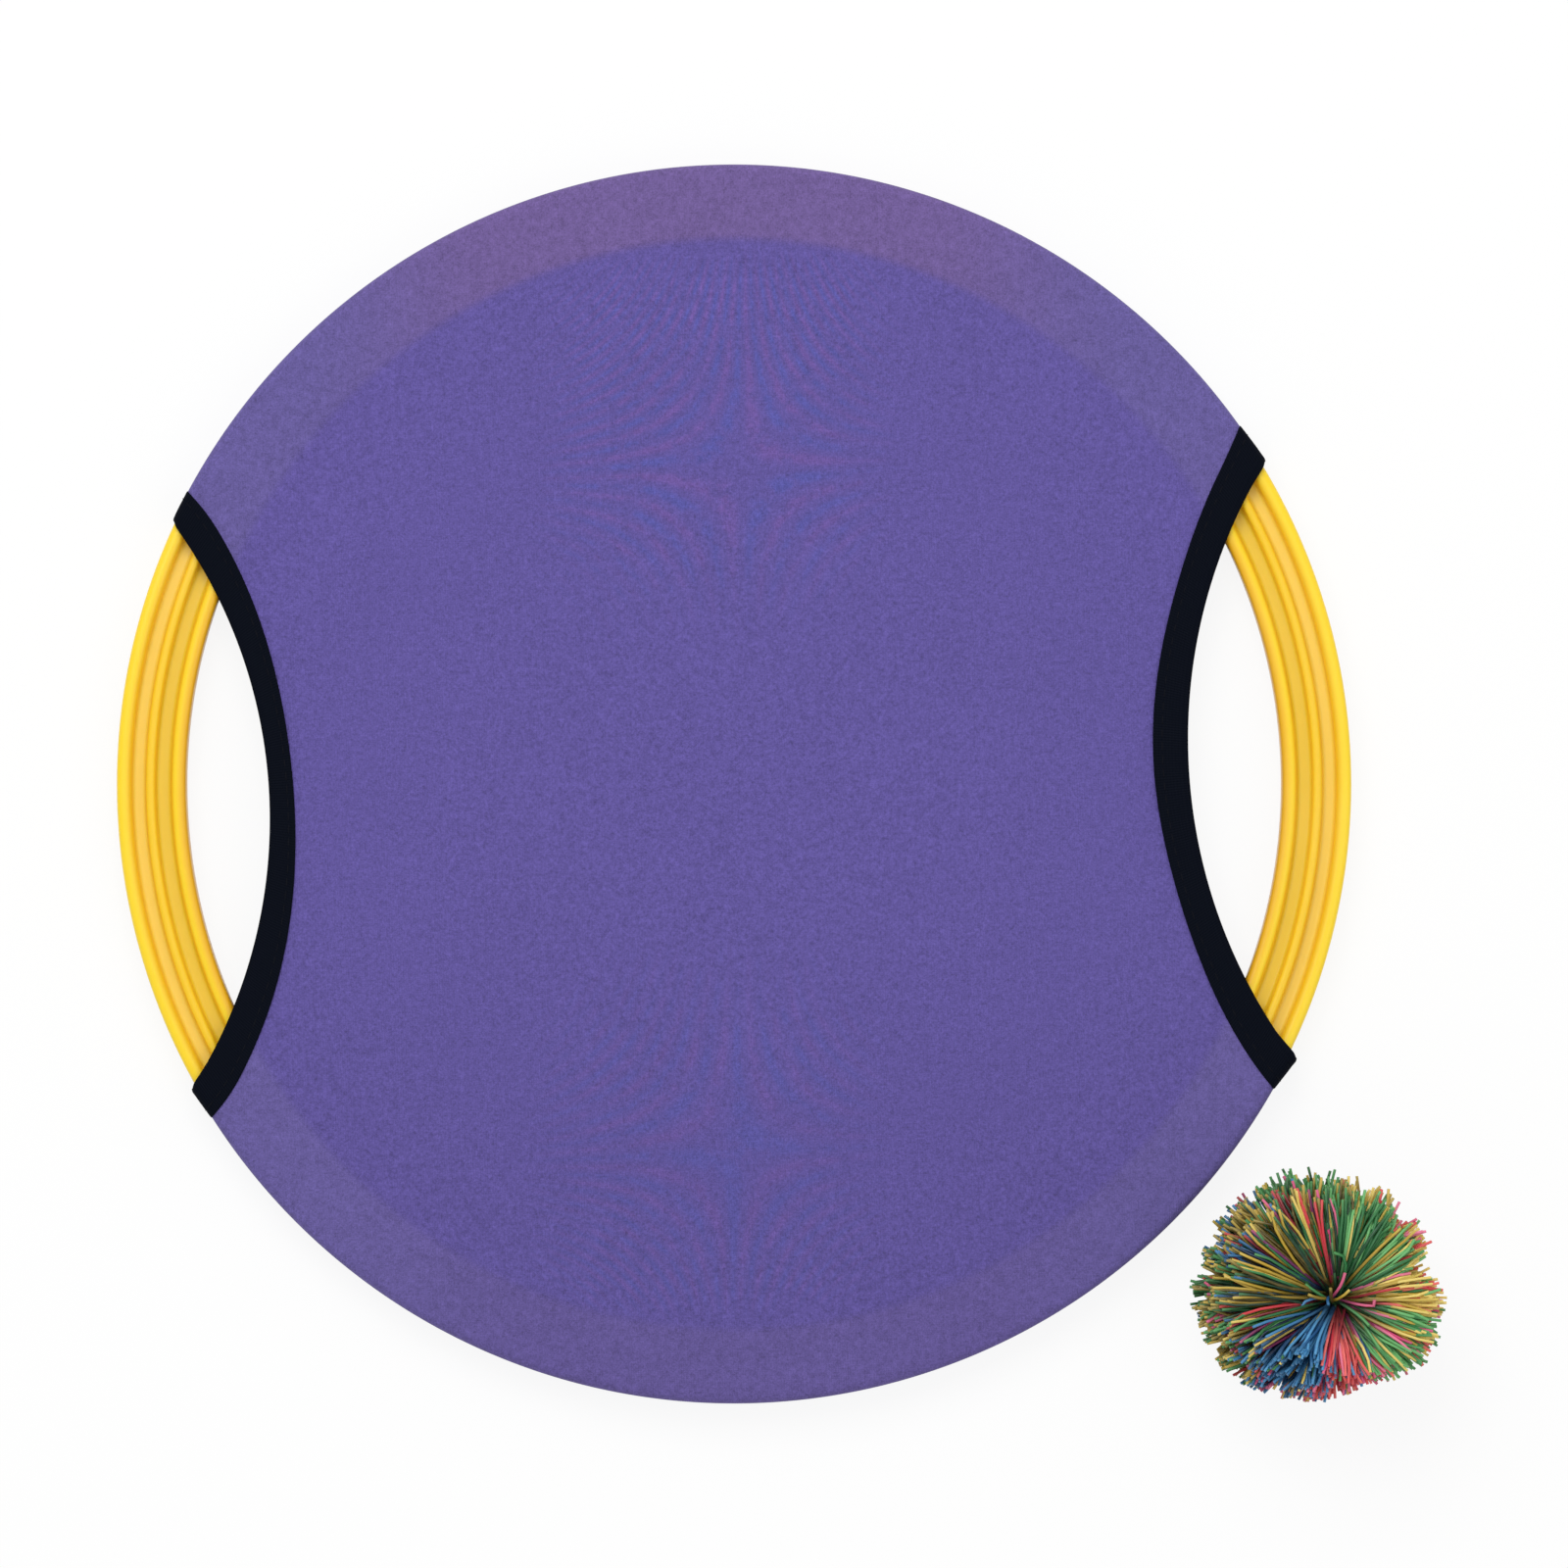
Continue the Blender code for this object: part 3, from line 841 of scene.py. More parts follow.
@dataclass(frozen=True)
class GapArc:
    """One edge arc of a hand gap, in plan."""

    x: float
    y: float
    radius: float

    def grown(self, length: float) -> "GapArc":
        """Return the arc with its radius made longer."""
        return replace(self, radius=self.radius + length)

    def towards(self, other: "GapArc", share: float) -> "GapArc":
        """Return the arc part of the way to another."""
        pairs = zip(astuple(self), astuple(other))
        return GapArc(*(first + (second - first) * share for first, second in pairs))

    def reach_along(self, angle: float) -> float:
        """Return how far a ray from the paddle's middle goes before it meets the arc.

        Args:
            angle: The ray's direction in radians.

        Returns:
            The distance, or infinity where the ray misses.
        """
        along = self.x * math.cos(angle) + self.y * math.sin(angle)
        rest = along * along - (self.x ** 2 + self.y ** 2) + self.radius ** 2
        if along <= 0.0 or rest < 0.0:
            return math.inf
        return along - math.sqrt(rest)

    def span_within(self, limit: float) -> tuple[float, float]:
        """Return the arc's start and end angle inside a circle round the middle.

        Args:
            limit: The circle's radius.

        Returns:
            Both angles about the arc's own centre, in radians.
        """
        away = math.hypot(self.x, self.y)
        facing = math.atan2(-self.y, -self.x)
        cosine = (away ** 2 + self.radius ** 2 - limit ** 2) / (2.0 * away * self.radius)
        half = math.acos(max(-1.0, min(1.0, cosine)))
        return facing - half, facing + half


@dataclass
class WrapShape:
    """The surface that cloth takes over the ring, at a distance out from it."""

    ring_radius: float = 135.0 * MM
    half_height: float = 4.5 * MM
    middle: float = 5.8 * MM
    rounding: float = 1.5 * MM
    side_squeeze: float = 0.35

    def rim(self, offset: float) -> float:
        """Return the outermost radius at an offset."""
        return self.ring_radius + offset * self.side_squeeze

    def bend(self, offset: float) -> float:
        """Return the radius of the turn over the ring's edge at an offset."""
        return self.rounding + offset * self.side_squeeze

    def height_at(self, radius: float, offset: float) -> float:
        """Return the height above the middle plane at a radius.

        Args:
            radius: Distance from the paddle's middle.
            offset: Distance out from the ring.

        Returns:
            The height, not under the top of the flat side wall.
        """
        curve = self.bend(offset)
        inner = self.rim(offset) - curve
        beyond = min(max(radius - inner, 0.0), curve)
        return self.half_height + offset - curve + math.sqrt(max(curve ** 2 - beyond ** 2, 0.0))


@dataclass
class RingPiece:
    """The moulded ring with three rounded ribs on each face."""

    wrap: WrapShape
    inner: float = 119.8 * MM
    web: float = 1.4 * MM
    edge_rib: float = 3.5 * MM
    middle_rib_at: float = 6.5 * MM
    middle_rib: float = 2.6 * MM
    middle_drop: float = 0.1 * MM
    lean: float = 0.35 * MM
    outer_bend: float = 2.4 * MM
    crest_bend: float = 1.6 * MM
    foot_bend: float = 0.9 * MM
    middle_crest_bend: float = 1.4 * MM
    middle_foot_bend: float = 0.8 * MM
    longest_cut: float = 0.48
    steps: int = 300
    arc_steps: int = 5

    def corners(self) -> list[tuple[float, float, float]]:
        """List the upper section's corners.

        Returns:
            Radius, height and rounding of each.
        """
        inner, outer, top = self.inner, self.wrap.ring_radius, self.wrap.half_height
        first = inner + self.middle_rib_at
        last = first + self.middle_rib
        crest = top - self.middle_drop
        return [
            (inner, top, self.outer_bend),
            (inner + self.edge_rib - self.lean, top, self.crest_bend),
            (inner + self.edge_rib, self.web, self.foot_bend),
            (first, self.web, self.middle_foot_bend),
            (first + self.lean, crest, self.middle_crest_bend),
            (last - self.lean, crest, self.middle_crest_bend),
            (last, self.web, self.middle_foot_bend),
            (outer - self.edge_rib, self.web, self.foot_bend),
            (outer - self.edge_rib + self.lean, top, self.crest_bend),
            (outer, top, self.outer_bend),
        ]

    def section(self) -> np.ndarray:
        """Round the whole section's corners.

        Returns:
            Its points as radius and height.
        """
        upper = self.corners()
        loop = upper + [(radius, -height, bend) for radius, height, bend in reversed(upper)]
        points: list[Range] = []
        for step, (radius, height, bend) in enumerate(loop):
            here = Vector((radius, height))
            back = Vector(loop[step - 1][:2]) - here
            ahead = Vector(loop[(step + 1) % len(loop)][:2]) - here
            room = self.longest_cut * min(back.length, ahead.length)
            cutback = min(bend / math.tan(0.5 * back.angle(ahead)), room)
            start = here + back.normalized() * cutback
            end = here + ahead.normalized() * cutback
            for turn in range(self.arc_steps + 1):
                share = turn / self.arc_steps
                at = start * (1.0 - share) ** 2 + here * 2.0 * share * (1.0 - share)
                points.append(tuple(at + end * share ** 2))
        return np.array(points)

    def build(self, finish: MouldedPlastic) -> Piece:
        """Build and dress the ring.

        Args:
            finish: Its plastic.

        Returns:
            The piece.
        """
        section = self.section()
        turns = np.linspace(0.0, math.tau, self.steps, endpoint=False)[:, None]
        radius = section[None, :, 0]
        height = np.broadcast_to(section[:, 1] + self.wrap.middle, (self.steps, len(section)))
        grid = np.stack([np.cos(turns) * radius, np.sin(turns) * radius, height], axis=2)
        piece = add_grid("moulded_ring", grid, True, True)
        material = finish.build(self.wrap.middle, self.web, self.wrap.half_height)
        return finish_piece(piece, material, RING_NODES)


@dataclass
class CoverPiece:
    """One stretched cover: a flat face that turns over the ring's edge to the seam.

    Each pair of seam_rows is a share of the side wall's height and a share of the flare there.
    """

    front: bool
    wrap: WrapShape
    arcs: tuple[GapArc, ...]
    inner_offset: float = 0.3 * MM
    outer_offset: float = 1.3 * MM
    sag: float = 0.55 * MM
    groove_dip: float = 0.12 * MM
    ring_inner: float = 119.4 * MM
    dip_start: float = 0.8 * MM
    dip_width: float = 3.2 * MM
    seam_flare: float = 0.08 * MM
    seam_gap: float = 0.06 * MM
    seam_rows: tuple[Range, ...] = ((0.45, 0.0), (0.75, 0.25), (0.90, 0.85), (1.0, 0.55))
    cut_margin: float = 0.3 * MM
    edge_close: float = 0.9
    crowding: float = 1.35
    turns: int = 720
    rings: int = 46
    rim_rows: int = 9
    bend_rows: int = 5

    def dip(self, radius: float) -> float:
        """Return how far the cloth sinks inside the ring.

        Args:
            radius: Distance from the paddle's middle.

        Returns:
            The depth.
        """
        share = radius / self.ring_inner
        edge = smooth_step((self.ring_inner + self.dip_start - radius) / self.dip_width)
        return edge * (self.groove_dip + self.sag * max(0.0, 1.0 - share * share))

    def column(self, angle: float, offset: float) -> list[Range]:
        """Return one radial line of the cover as radius and height above the middle plane.

        Args:
            angle: Its direction.
            offset: Distance out from the ring.

        Returns:
            The points from the middle to the seam or the cut edge.
        """
        wrap = self.wrap
        curve = wrap.bend(offset)
        flat_end = wrap.rim(offset) - curve
        cut = min(arc.reach_along(angle) for arc in self.arcs)
        top = wrap.half_height + offset
        end = min(cut, flat_end)
        points = []
        for step in range(self.rings + 1):
            radius = end * (1.0 - (1.0 - step / self.rings) ** self.crowding)
            points.append((radius, top - self.dip(radius)))
        if cut < wrap.rim(self.outer_offset) + self.cut_margin:
            edge = 0.5 * (self.inner_offset + self.outer_offset) + wrap.half_height
            for row in range(1, self.rim_rows + 1):
                fall = (edge - top) * (row / self.rim_rows) * self.edge_close
                points.append((end, top + fall - self.dip(end)))
            return points
        wall = top - curve
        for row in range(1, self.bend_rows + 1):
            turn = 0.5 * math.pi * row / self.bend_rows
            points.append((flat_end + curve * math.sin(turn), wall + curve * math.cos(turn)))
        for share, flare in self.seam_rows:
            height = wall + (self.seam_gap - wall) * share
            points.append((wrap.rim(offset) + self.seam_flare * flare, height))
        return points

    def build(self, material: Material) -> Piece:
        """Build and dress the cover.

        Args:
            material: Its knit.

        Returns:
            The piece.
        """
        side = 1.0 if self.front else -1.0
        grid = []
        for step in range(self.turns):
            angle = math.tau * step / self.turns
            line = self.column(angle, self.outer_offset)
            line += self.column(angle, self.inner_offset)[::-1]
            x, y = math.cos(angle), math.sin(angle)
            grid.append([
                (radius * x, radius * y, self.wrap.middle + side * height)
                for radius, height in line])
        face = "front" if self.front else "back"
        piece = add_grid(f"{face}_cover", np.array(grid), True, False, flip=not self.front)
        clean_mesh(piece, merge=True)
        nodes = [f"{face}_cover_panel", f"{face}_upper_rim", f"{face}_lower_rim"]
        return finish_piece(piece, material, nodes)


def clean_mesh(piece: Piece, merge: bool = False) -> None:
    """Make a closed piece's faces point outwards.

    Args:
        piece: The piece.
        merge: Merge the points that meet on its axis first.
    """
    work = bmesh.new()
    work.from_mesh(piece.data)
    if merge:
        bmesh.ops.remove_doubles(work, verts=work.verts, dist=0.002 * MM)
        bmesh.ops.dissolve_degenerate(work, edges=work.edges, dist=0.001 * MM)
    bmesh.ops.recalc_face_normals(work, faces=work.faces)
    work.to_mesh(piece.data)
    work.free()


@dataclass(frozen=True)
class EdgeSway:
    """How a tape's sewn edge leaves its arc, and how far its two ends stand out at the rim."""

    mean: float
    swing: float
    crest: float
    pitch: float
    upper_flare: float
    lower_flare: float
    upper_tuck: float
    lower_tuck: float

    def at(self, turn: float, near: float) -> float:
        """Return the edge's distance from the arc.

        Args:
            turn: The angle about the arc's centre, in radians.
            near: How near the rim, 0 to 1; the ends are tucked in there.

        Returns:
            The distance.
        """
        away = bearing(math.degrees(turn), self.crest)
        tuck = self.upper_tuck if math.sin(turn) > 0.0 else self.lower_tuck
        return self.mean + self.swing * math.cos(math.tau * away / self.pitch) - tuck * near * near


@dataclass
class TapePiece:
    """A folded tape round the covers' mouth beside one hand gap, with its stitching.

    Its hand-sewn edge wanders a little from the arc, and each end stands out at the rim. Each pair
    of crowning is a share of the width and a rise in crowns; each of fold an inset and a depth.
    """

    side: str
    gap: GapArc
    cover: GapArc
    wrap: WrapShape
    sway: EdgeSway
    inner_offset: float = 0.32 * MM
    slot_inner: float = 0.55 * MM
    slot_outer: float = 1.36 * MM
    outer_offset: float = 1.80 * MM
    slot_end: float = 0.95 * MM
    crown: float = 0.05 * MM
    crowning: tuple[Range, ...] = (
        (0.94, 0.0), (0.80, -0.4), (0.74, -1.2), (0.66, 0.0), (0.45, 1.0), (0.25, 0.6))
    fold: tuple[Range, ...] = (
        (0.62 * MM, 0.02 * MM), (0.28 * MM, 0.16 * MM), (0.07 * MM, 0.42 * MM))
    corner: float = 0.40 * MM
    corner_reach: float = 1.6 * MM
    flare_reach: float = 5.0 * MM
    end_spread: float = 0.99999
    arc_samples: int = 150
    wall_samples: int = 7
    stitch_share: float = 0.74
    stitch_sink: float = 0.03 * MM
    map_row: int = 8

    def section(self) -> list[tuple[float, float, float]]:
        """List the folded section's points.

        Returns:
            Share of the width, extra width and offset of each.
        """
        top, base = self.outer_offset, self.inner_offset
        return [
            (1.0, 0.0, self.slot_outer + 0.02 * MM),
            (1.0, 0.03 * MM, top - 0.22 * MM),
            (1.0, -0.10 * MM, top - 0.05 * MM),
            *((share, 0.0, top + self.crown * rise) for share, rise in self.crowning),
            *((0.0, extra, top - depth) for extra, depth in self.fold),
            (0.0, 0.0, 0.5 * (top + base)),
            *((0.0, extra, base + depth) for extra, depth in reversed(self.fold)),
            (0.45, 0.0, base),
            (1.0, -0.08 * MM, base),
            (1.0, 0.0, self.slot_inner),
            (0.0, self.slot_end, self.slot_inner),
            (0.0, self.slot_end, self.slot_outer),
        ]

    def point_at(
        self, arc: GapArc, turn: float, share: float, offset: float, flare: float, at_end: bool,
    ) -> tuple[float, float, float]:
        """Return one point of a line of the tape's front.

        Args:
            arc: The line's arc.
            turn: The angle about its centre.
            share: Share of the tape's width from the gap's edge.
            offset: Distance out from the ring.
            flare: How far the line's end stands out at the rim.
            at_end: Put the point on the rim.

        Returns:
            Its place, with the height above the middle plane.
        """
        edge = self.wrap.rim(offset)
        begin = edge - self.flare_reach
        growth = 1.0 + flare / self.flare_reach
        across, along = math.cos(turn), math.sin(turn)
        plain = math.hypot(arc.x + arc.radius * across, arc.y + arc.radius * along)
        near_rim = min(1.0, max(0.0, 1.0 - (edge - plain) / (2.0 * self.flare_reach)))
        radius = arc.radius + share * self.sway.at(turn, near_rim)
        x, y = arc.x + radius * across, arc.y + radius * along
        reach = math.hypot(x, y)
        if reach > begin:
            grown = begin + (reach - begin) * growth
            x, y = x * grown / reach, y * grown / reach
        rim = edge + flare
        near = max(0.0, 1.0 - (rim - math.hypot(x, y)) / self.corner_reach)
        inward = self.corner * near ** 2 * max(0.0, 1.0 - 2.0 * share)
        x, y = x + inward * across, y + inward * along
        fit = rim / math.hypot(x, y)
        if fit < 1.0 or at_end:
            x, y = x * fit, y * fit
        flat = math.hypot(x, y)
        if flat > begin:
            flat = begin + (flat - begin) / growth
        return x, y, self.wrap.height_at(flat, offset)

    def loop(self, share: float, extra: float, offset: float) -> np.ndarray:
        """Return the closed line that one point of the section follows.

        Args:
            share: Share of the tape's width from the gap's edge.
            extra: Width added to it.
            offset: Distance out from the ring.

        Returns:
            The line over the front, round one end, over the back and round the other.
        """
        arc = self.gap.towards(self.cover, share).grown(extra)
        edge = self.wrap.rim(offset)
        low, high = (
            arc.grown(share * self.sway.at(turn, 1.0)).span_within(edge)[which]
            for which, turn in enumerate(arc.span_within(edge)))
        lower_first = math.sin(low) < math.sin(high)
        over = []
        for step in range(self.arc_samples + 1):
            spread = math.sin(0.5 * math.pi * (2.0 * step / self.arc_samples - 1.0))
            turn = 0.5 * (low + high) + 0.5 * (high - low) * spread
            lower = (spread < 0.0) == lower_first
            flare = self.sway.lower_flare if lower else self.sway.upper_flare
            flare *= max(0.0, 1.0 - share)
            at_end = abs(spread) > self.end_spread
            over.append(self.point_at(arc, turn, share, offset, flare, at_end))
        falls = [1.0 - 2.0 * step / self.wall_samples for step in range(1, self.wall_samples)]
        (x, y, z), (end_x, end_y, end_z) = over[0], over[-1]
        line = over + [(end_x, end_y, end_z * fall) for fall in falls]
        line += [(back_x, back_y, -height) for back_x, back_y, height in reversed(over)]
        line += [(x, y, -z * fall) for fall in falls]
        return np.array(line) + (0.0, 0.0, self.wrap.middle)

    def add_strip_map(self, piece: Piece, grid: np.ndarray) -> None:
        """Give the tape a UV map in metres: along it and across it.

        Args:
            piece: The tape.
            grid: Its points, section by line.
        """
        line = grid[self.map_row]
        steps = np.linalg.norm(np.diff(line, axis=0, append=line[:1]), axis=1)
        along = np.concatenate([[0.0], np.cumsum(steps)])
        columns = grid.shape[1]
        section = self.section()
        width = abs(self.cover.radius - self.gap.radius) * 0.5
        layer = piece.data.uv_layers.new(name="strip")
        half = columns // 2
        for face in piece.data.polygons:
            spots = [
                divmod(piece.data.loops[corner].vertex_index, columns)
                for corner in face.loop_indices]
            first = spots[0][1]
            for corner, (row, column) in zip(face.loop_indices, spots):
                at = along[columns if column == 0 and first > half else column]
                if column > half and first == 0:
                    at -= along[columns]
                share, extra, _ = section[row]
                layer.data[corner].uv = (at, share * width + extra)

    def build(self, material: Material) -> Piece:
        """Build and dress the tape.

        Args:
            material: Its woven finish.

        Returns:
            The piece.
        """
        grid = np.stack([self.loop(*point) for point in self.section()])
        piece = add_grid(f"{self.side}_tape", grid, True, True)
        self.add_strip_map(piece, grid)
        clean_mesh(piece)
        return finish_piece(piece, material, [f"{self.side}_edge_tape"])

    def build_stitches(self, material: Material, tree: Tree) -> Piece:
        """Build the row of stitches along the tape's inner edge, on both faces.

        Args:
            material: The thread.
            tree: The stitch tree.

        Returns:
            The piece.
        """
        row = self.loop(self.stitch_share, 0.0, self.outer_offset - self.stitch_sink)
        source = add_paths(f"{self.side}_tape_stitches", [row], closed=True)
        piece = mesh_from_nodes(source, tree, {
            "Pitch": 2.9 * MM, "Stitch Length": 2.1 * MM, "Thread Width": 0.26 * MM,
            "Seed": 4, "Material": material})
        return finish_piece(piece, material)


@dataclass
class RimSeam:
    """The overlocked seam that joins both covers round the ring's edge."""

    wrap: WrapShape
    arcs: tuple[GapArc, ...]
    offset: float = 1.3 * MM
    lift: float = 0.02 * MM
    step_degrees: float = 0.5

    def paths(self) -> list[np.ndarray]:
        """Return the seam's two runs between the hand gaps.

        Returns:
            The points of each run.
        """
        radius = self.wrap.rim(self.offset) + self.lift
        runs: list[np.ndarray] = []
        current: list[tuple[float, float, float]] = []
        for step in range(-180, 541):
            angle = math.radians(self.step_degrees * step)
            if all(arc.reach_along(angle) > radius for arc in self.arcs):
                current.append((
                    radius * math.cos(angle), radius * math.sin(angle), self.wrap.middle))
            elif current:
                runs.append(np.array(current))
                current = []
        if current:
            runs.append(np.array(current))
        return runs

    def build(self, material: Material, tree: Tree) -> Piece:
        """Build the seam's stitches.

        Args:
            material: The thread.
            tree: The stitch tree.

        Returns:
            The piece.
        """
        source = add_paths("rim_seam_stitches", self.paths(), closed=False)
        piece = mesh_from_nodes(source, tree, {
            "Pitch": 2.0 * MM, "Stitch Length": 1.5 * MM, "Thread Width": 0.18 * MM,
            "Seed": 9, "Material": material})
        return finish_piece(piece, material)


@dataclass(frozen=True)
class ColourZone:
    """A sector of the ball, seen from above, and how its strand colours are mixed.

    The shares stand for green, yellow, blue, red and pink, in hundredths: first the long strands
    that lie on top, then the short ones whose tips make the outline.
    """

    start: float
    top: tuple[int, int, int, int, int]
    waist: tuple[int, int, int, int, int]


@dataclass(frozen=True)
class Lobe:
    """A place where the ball's outline stands out or falls back."""

    azimuth: float
    half_width: float
    rise: float


@dataclass(frozen=True)
class Patch:
    """A patch of strands that share their chances: its size in degrees and layers, and its keys."""

    width: float
    height: float
    width_key: int
    height_key: int

    def source(self, azimuth: float, layer: float, seed: int) -> random.Random:
        """Return the random source for the patch that a strand belongs to."""
        key = int(azimuth // self.width) * self.width_key
        return random.Random(key + int((layer + 1.0) / self.height) * self.height_key + seed)


def bearing(azimuth: float, other: float) -> float:
    """Return the signed angle in degrees from one direction to another."""
    return (azimuth - other + 180.0) % 360.0 - 180.0


@dataclass
class StringBall:
    """The ball of rubber strands: a dense fountain out of a small band, one piece per colour.

    Strands lean together in tufts, and part of each smaller patch shares one colour.
    """

    centre: Range = (124.2 * MM, -115.4 * MM)
    pole: Range = (1.6 * MM, -1.4 * MM)
    floor: float = -0.55 * MM
    rest_height: float = 24.0 * MM
    half_height: float = 26.2 * MM
    reach: float = 25.2 * MM
    squash: float = 0.97
    roundness: float = 0.77
    top_roundness: float = 0.90
    top_turn: float = 60.0
    bottom_turn: float = 76.0
    strands: int = 4300
    strays: int = 12
    loose: tuple[int, int, int, int, int] = (40, 10, 24, 22, 4)
    points: int = 9
    seed: int = 41
    jitter: float = 5.0
    gather: float = 0.3
    lean_spread: float = 7.0
    layer_spread: float = 0.05
    least_fall: float = 0.25
    more_fall: float = 0.6
    fall_turn: float = 0.55
    brush_turn: float = 8.0
    rag: Range = (0.024, 0.046)
    root_spread: float = 24.0
    pulls: Range = (1.30, 0.95)
    tuft: Patch = Patch(9.0, 0.22, 613, 59)
    patch: Patch = Patch(3.6, 0.14, 977, 131)
    patch_share: float = 0.52
    crown_layer: float = 0.70
    top_layer: float = 0.42
    brush: Lobe = Lobe(238.0, 30.0, 1.0)
    drape: Lobe = Lobe(20.0, 95.0, 1.0)
    crown: Lobe = Lobe(42.0, 26.0, 0.40)
    # Painted light and shade: the dent's painted shade, painted light on the ball's sunny side and
    # painted shade on its far side.
    pit: Lobe = Lobe(300.0, 60.0, 1.0)
    painted_light: Lobe = Lobe(355.0, 70.0, 0.50)
    shaded: Lobe = Lobe(138.0, 58.0, -0.34)
    zones: tuple[ColourZone, ...] = tuple(ColourZone(*row) for row in (
        (-12.0, (8, 62, 0, 28, 2), (14, 48, 0, 28, 10)),
        (10.0, (18, 70, 0, 8, 4), (6, 76, 0, 9, 9)),
        (28.0, (60, 30, 0, 8, 2), (15, 55, 2, 10, 18)),
        (42.0, (72, 20, 0, 6, 2), (30, 45, 0, 22, 3)),
        (58.0, (62, 34, 2, 2, 0), (22, 66, 0, 10, 2)),
        (78.0, (62, 28, 3, 5, 2), (50, 48, 0, 2, 0)),
        (96.0, (32, 40, 2, 20, 6), (82, 10, 4, 2, 2)),
        (122.0, (24, 62, 10, 2, 2), (24, 60, 12, 2, 2)),
        (140.0, (20, 44, 30, 4, 2), (18, 52, 28, 0, 2)),
        (160.0, (36, 52, 8, 3, 1), (62, 34, 3, 1, 0)),
        (186.0, (30, 24, 20, 20, 6), (42, 54, 3, 1, 0)),
        (206.0, (8, 6, 80, 3, 3), (30, 46, 20, 1, 3)),
        (226.0, (2, 2, 90, 3, 3), (4, 22, 48, 6, 20)),
        (257.0, (2, 1, 46, 44, 7), (0, 3, 8, 64, 25)),
        (267.0, (4, 1, 8, 77, 10), (2, 2, 0, 74, 22)),
        (290.0, (40, 4, 0, 30, 26), (10, 4, 0, 34, 52)),
        (304.0, (84, 8, 0, 2, 6), (66, 4, 0, 8, 22)),
        (326.0, (50, 32, 0, 10, 8), (42, 22, 0, 18, 18)),
    ))
    lobes: tuple[Lobe, ...] = (
        Lobe(178.0, 30.0, 0.16), Lobe(114.0, 26.0, 0.09), Lobe(218.0, 14.0, 0.06),
        Lobe(152.0, 5.0, 0.04), Lobe(15.0, 10.0, -0.19), Lobe(43.0, 8.0, -0.10),
        Lobe(70.0, 14.0, -0.03), Lobe(30.0, 3.0, 0.06), Lobe(289.0, 20.0, -0.125),
        Lobe(340.0, 14.0, -0.035), Lobe(99.0, 6.0, -0.03),
        Lobe(163.0, 3.0, -0.06), Lobe(206.0, 3.0, -0.06),
    )

    def colour_at(self, azimuth: float, layer: float, chance: random.Random) -> Rubber:
        """Choose a strand's colour; part of each patch shares one.

        Args:
            azimuth: Direction in degrees.
            layer: Its layer, 0 at the ball's waist and 1 on top.
            chance: The strand's own random source.

        Returns:
            The colour.
        """
        edge = azimuth + chance.gauss(0.0, 2.6)
        first = self.zones[0].start
        angle = (edge - first) % 360.0 + first
        zone = [item for item in self.zones if item.start <= angle][-1]
        if layer > self.crown_layer and chance.random() < self.swell(edge, (self.crown,)):
            return Rubber.GREEN
        on_top = abs(layer) + chance.gauss(0.0, 0.12) > self.top_layer
        patch = self.patch.source(angle, layer, self.seed)
        source = patch if chance.random() < self.patch_share else chance
        return source.choices(list(Rubber), weights=zone.top if on_top else zone.waist)[0]

    def swell(self, azimuth: float, lobes: Sequence[Lobe]) -> float:
        """Return the sum of some lobes in a direction."""
        aways = (bearing(azimuth, lobe.azimuth) / lobe.half_width for lobe in lobes)
        return sum(lobe.rise * math.exp(-0.7 * away * away) for lobe, away in zip(lobes, aways))

    def heading(self, azimuth: float, slope: float) -> Vector:
        """Turn two angles into a direction.

        Args:
            azimuth: The angle seen from above, in degrees.
            slope: The angle up from the floor, in degrees.

        Returns:
            The unit direction.
        """
        turn, lift = math.radians(azimuth), math.radians(slope)
        flat = math.cos(lift)
        return Vector((math.cos(turn) * flat, math.sin(turn) * flat, math.sin(lift)))

    def guide(self, number: int, chance: random.Random) -> tuple[float, float, np.ndarray]:
        """Return one strand's direction, its layer and its centre line.

        A strand leaves the band steeply, arches over and ends on the ball's rounded outline.

        Args:
            number: The strand's number.
            chance: The random source.

        Returns:
            Azimuth in degrees, layer from -1 to 1 and the points in the solids' frame.
        """
        layer = -1.0 + 2.0 * (number + 0.5) / self.strands
        azimuth = (number * GOLDEN_ANGLE + chance.uniform(-self.jitter, self.jitter)) % 360.0
        tuft = self.tuft.source(azimuth, layer, self.seed)
        lean = tuft.gauss(0.0, self.lean_spread)
        width = self.tuft.width
        azimuth += self.gather * ((azimuth // width + 0.5) * width - azimuth) + lean * 0.5
        above = layer > 0.0
        side = 1.0 if above else -1.0
        height = min(1.0, max(0.0, abs(layer) + tuft.gauss(0.0, self.layer_spread)))
        loose = self.swell(azimuth, (self.drape,))
        fall = brush = 0.0
        if above:
            brush = self.swell(azimuth, (self.brush,))
            fall = min(1.0, self.least_fall + (tuft.random() + loose) * self.more_fall)
            fall *= 1.0 - 0.9 * brush
        steepest = self.top_turn + self.brush_turn * brush if above else self.bottom_turn
        turn = math.radians(steepest) * height * (1.0 - self.fall_turn * fall * height)
        up = math.sin(turn) ** (self.top_roundness if above else self.roundness)
        ragged = min(chance.gauss(-0.6, 1.0), 0.55 + 1.3 * loose)
        ragged *= self.rag[0] + self.rag[1] * loose
        reach = self.reach * (1.0 + self.swell(azimuth, self.lobes))
        reach *= math.cos(turn) ** self.roundness * (1.0 + ragged)
        rise = (self.half_height if above else self.rest_height) * up
        rise *= 1.0 - 0.07 * brush + chance.gauss(0.0, 0.03)
        tip = self.heading(azimuth, 0.0) * reach
        tip.y *= self.squash
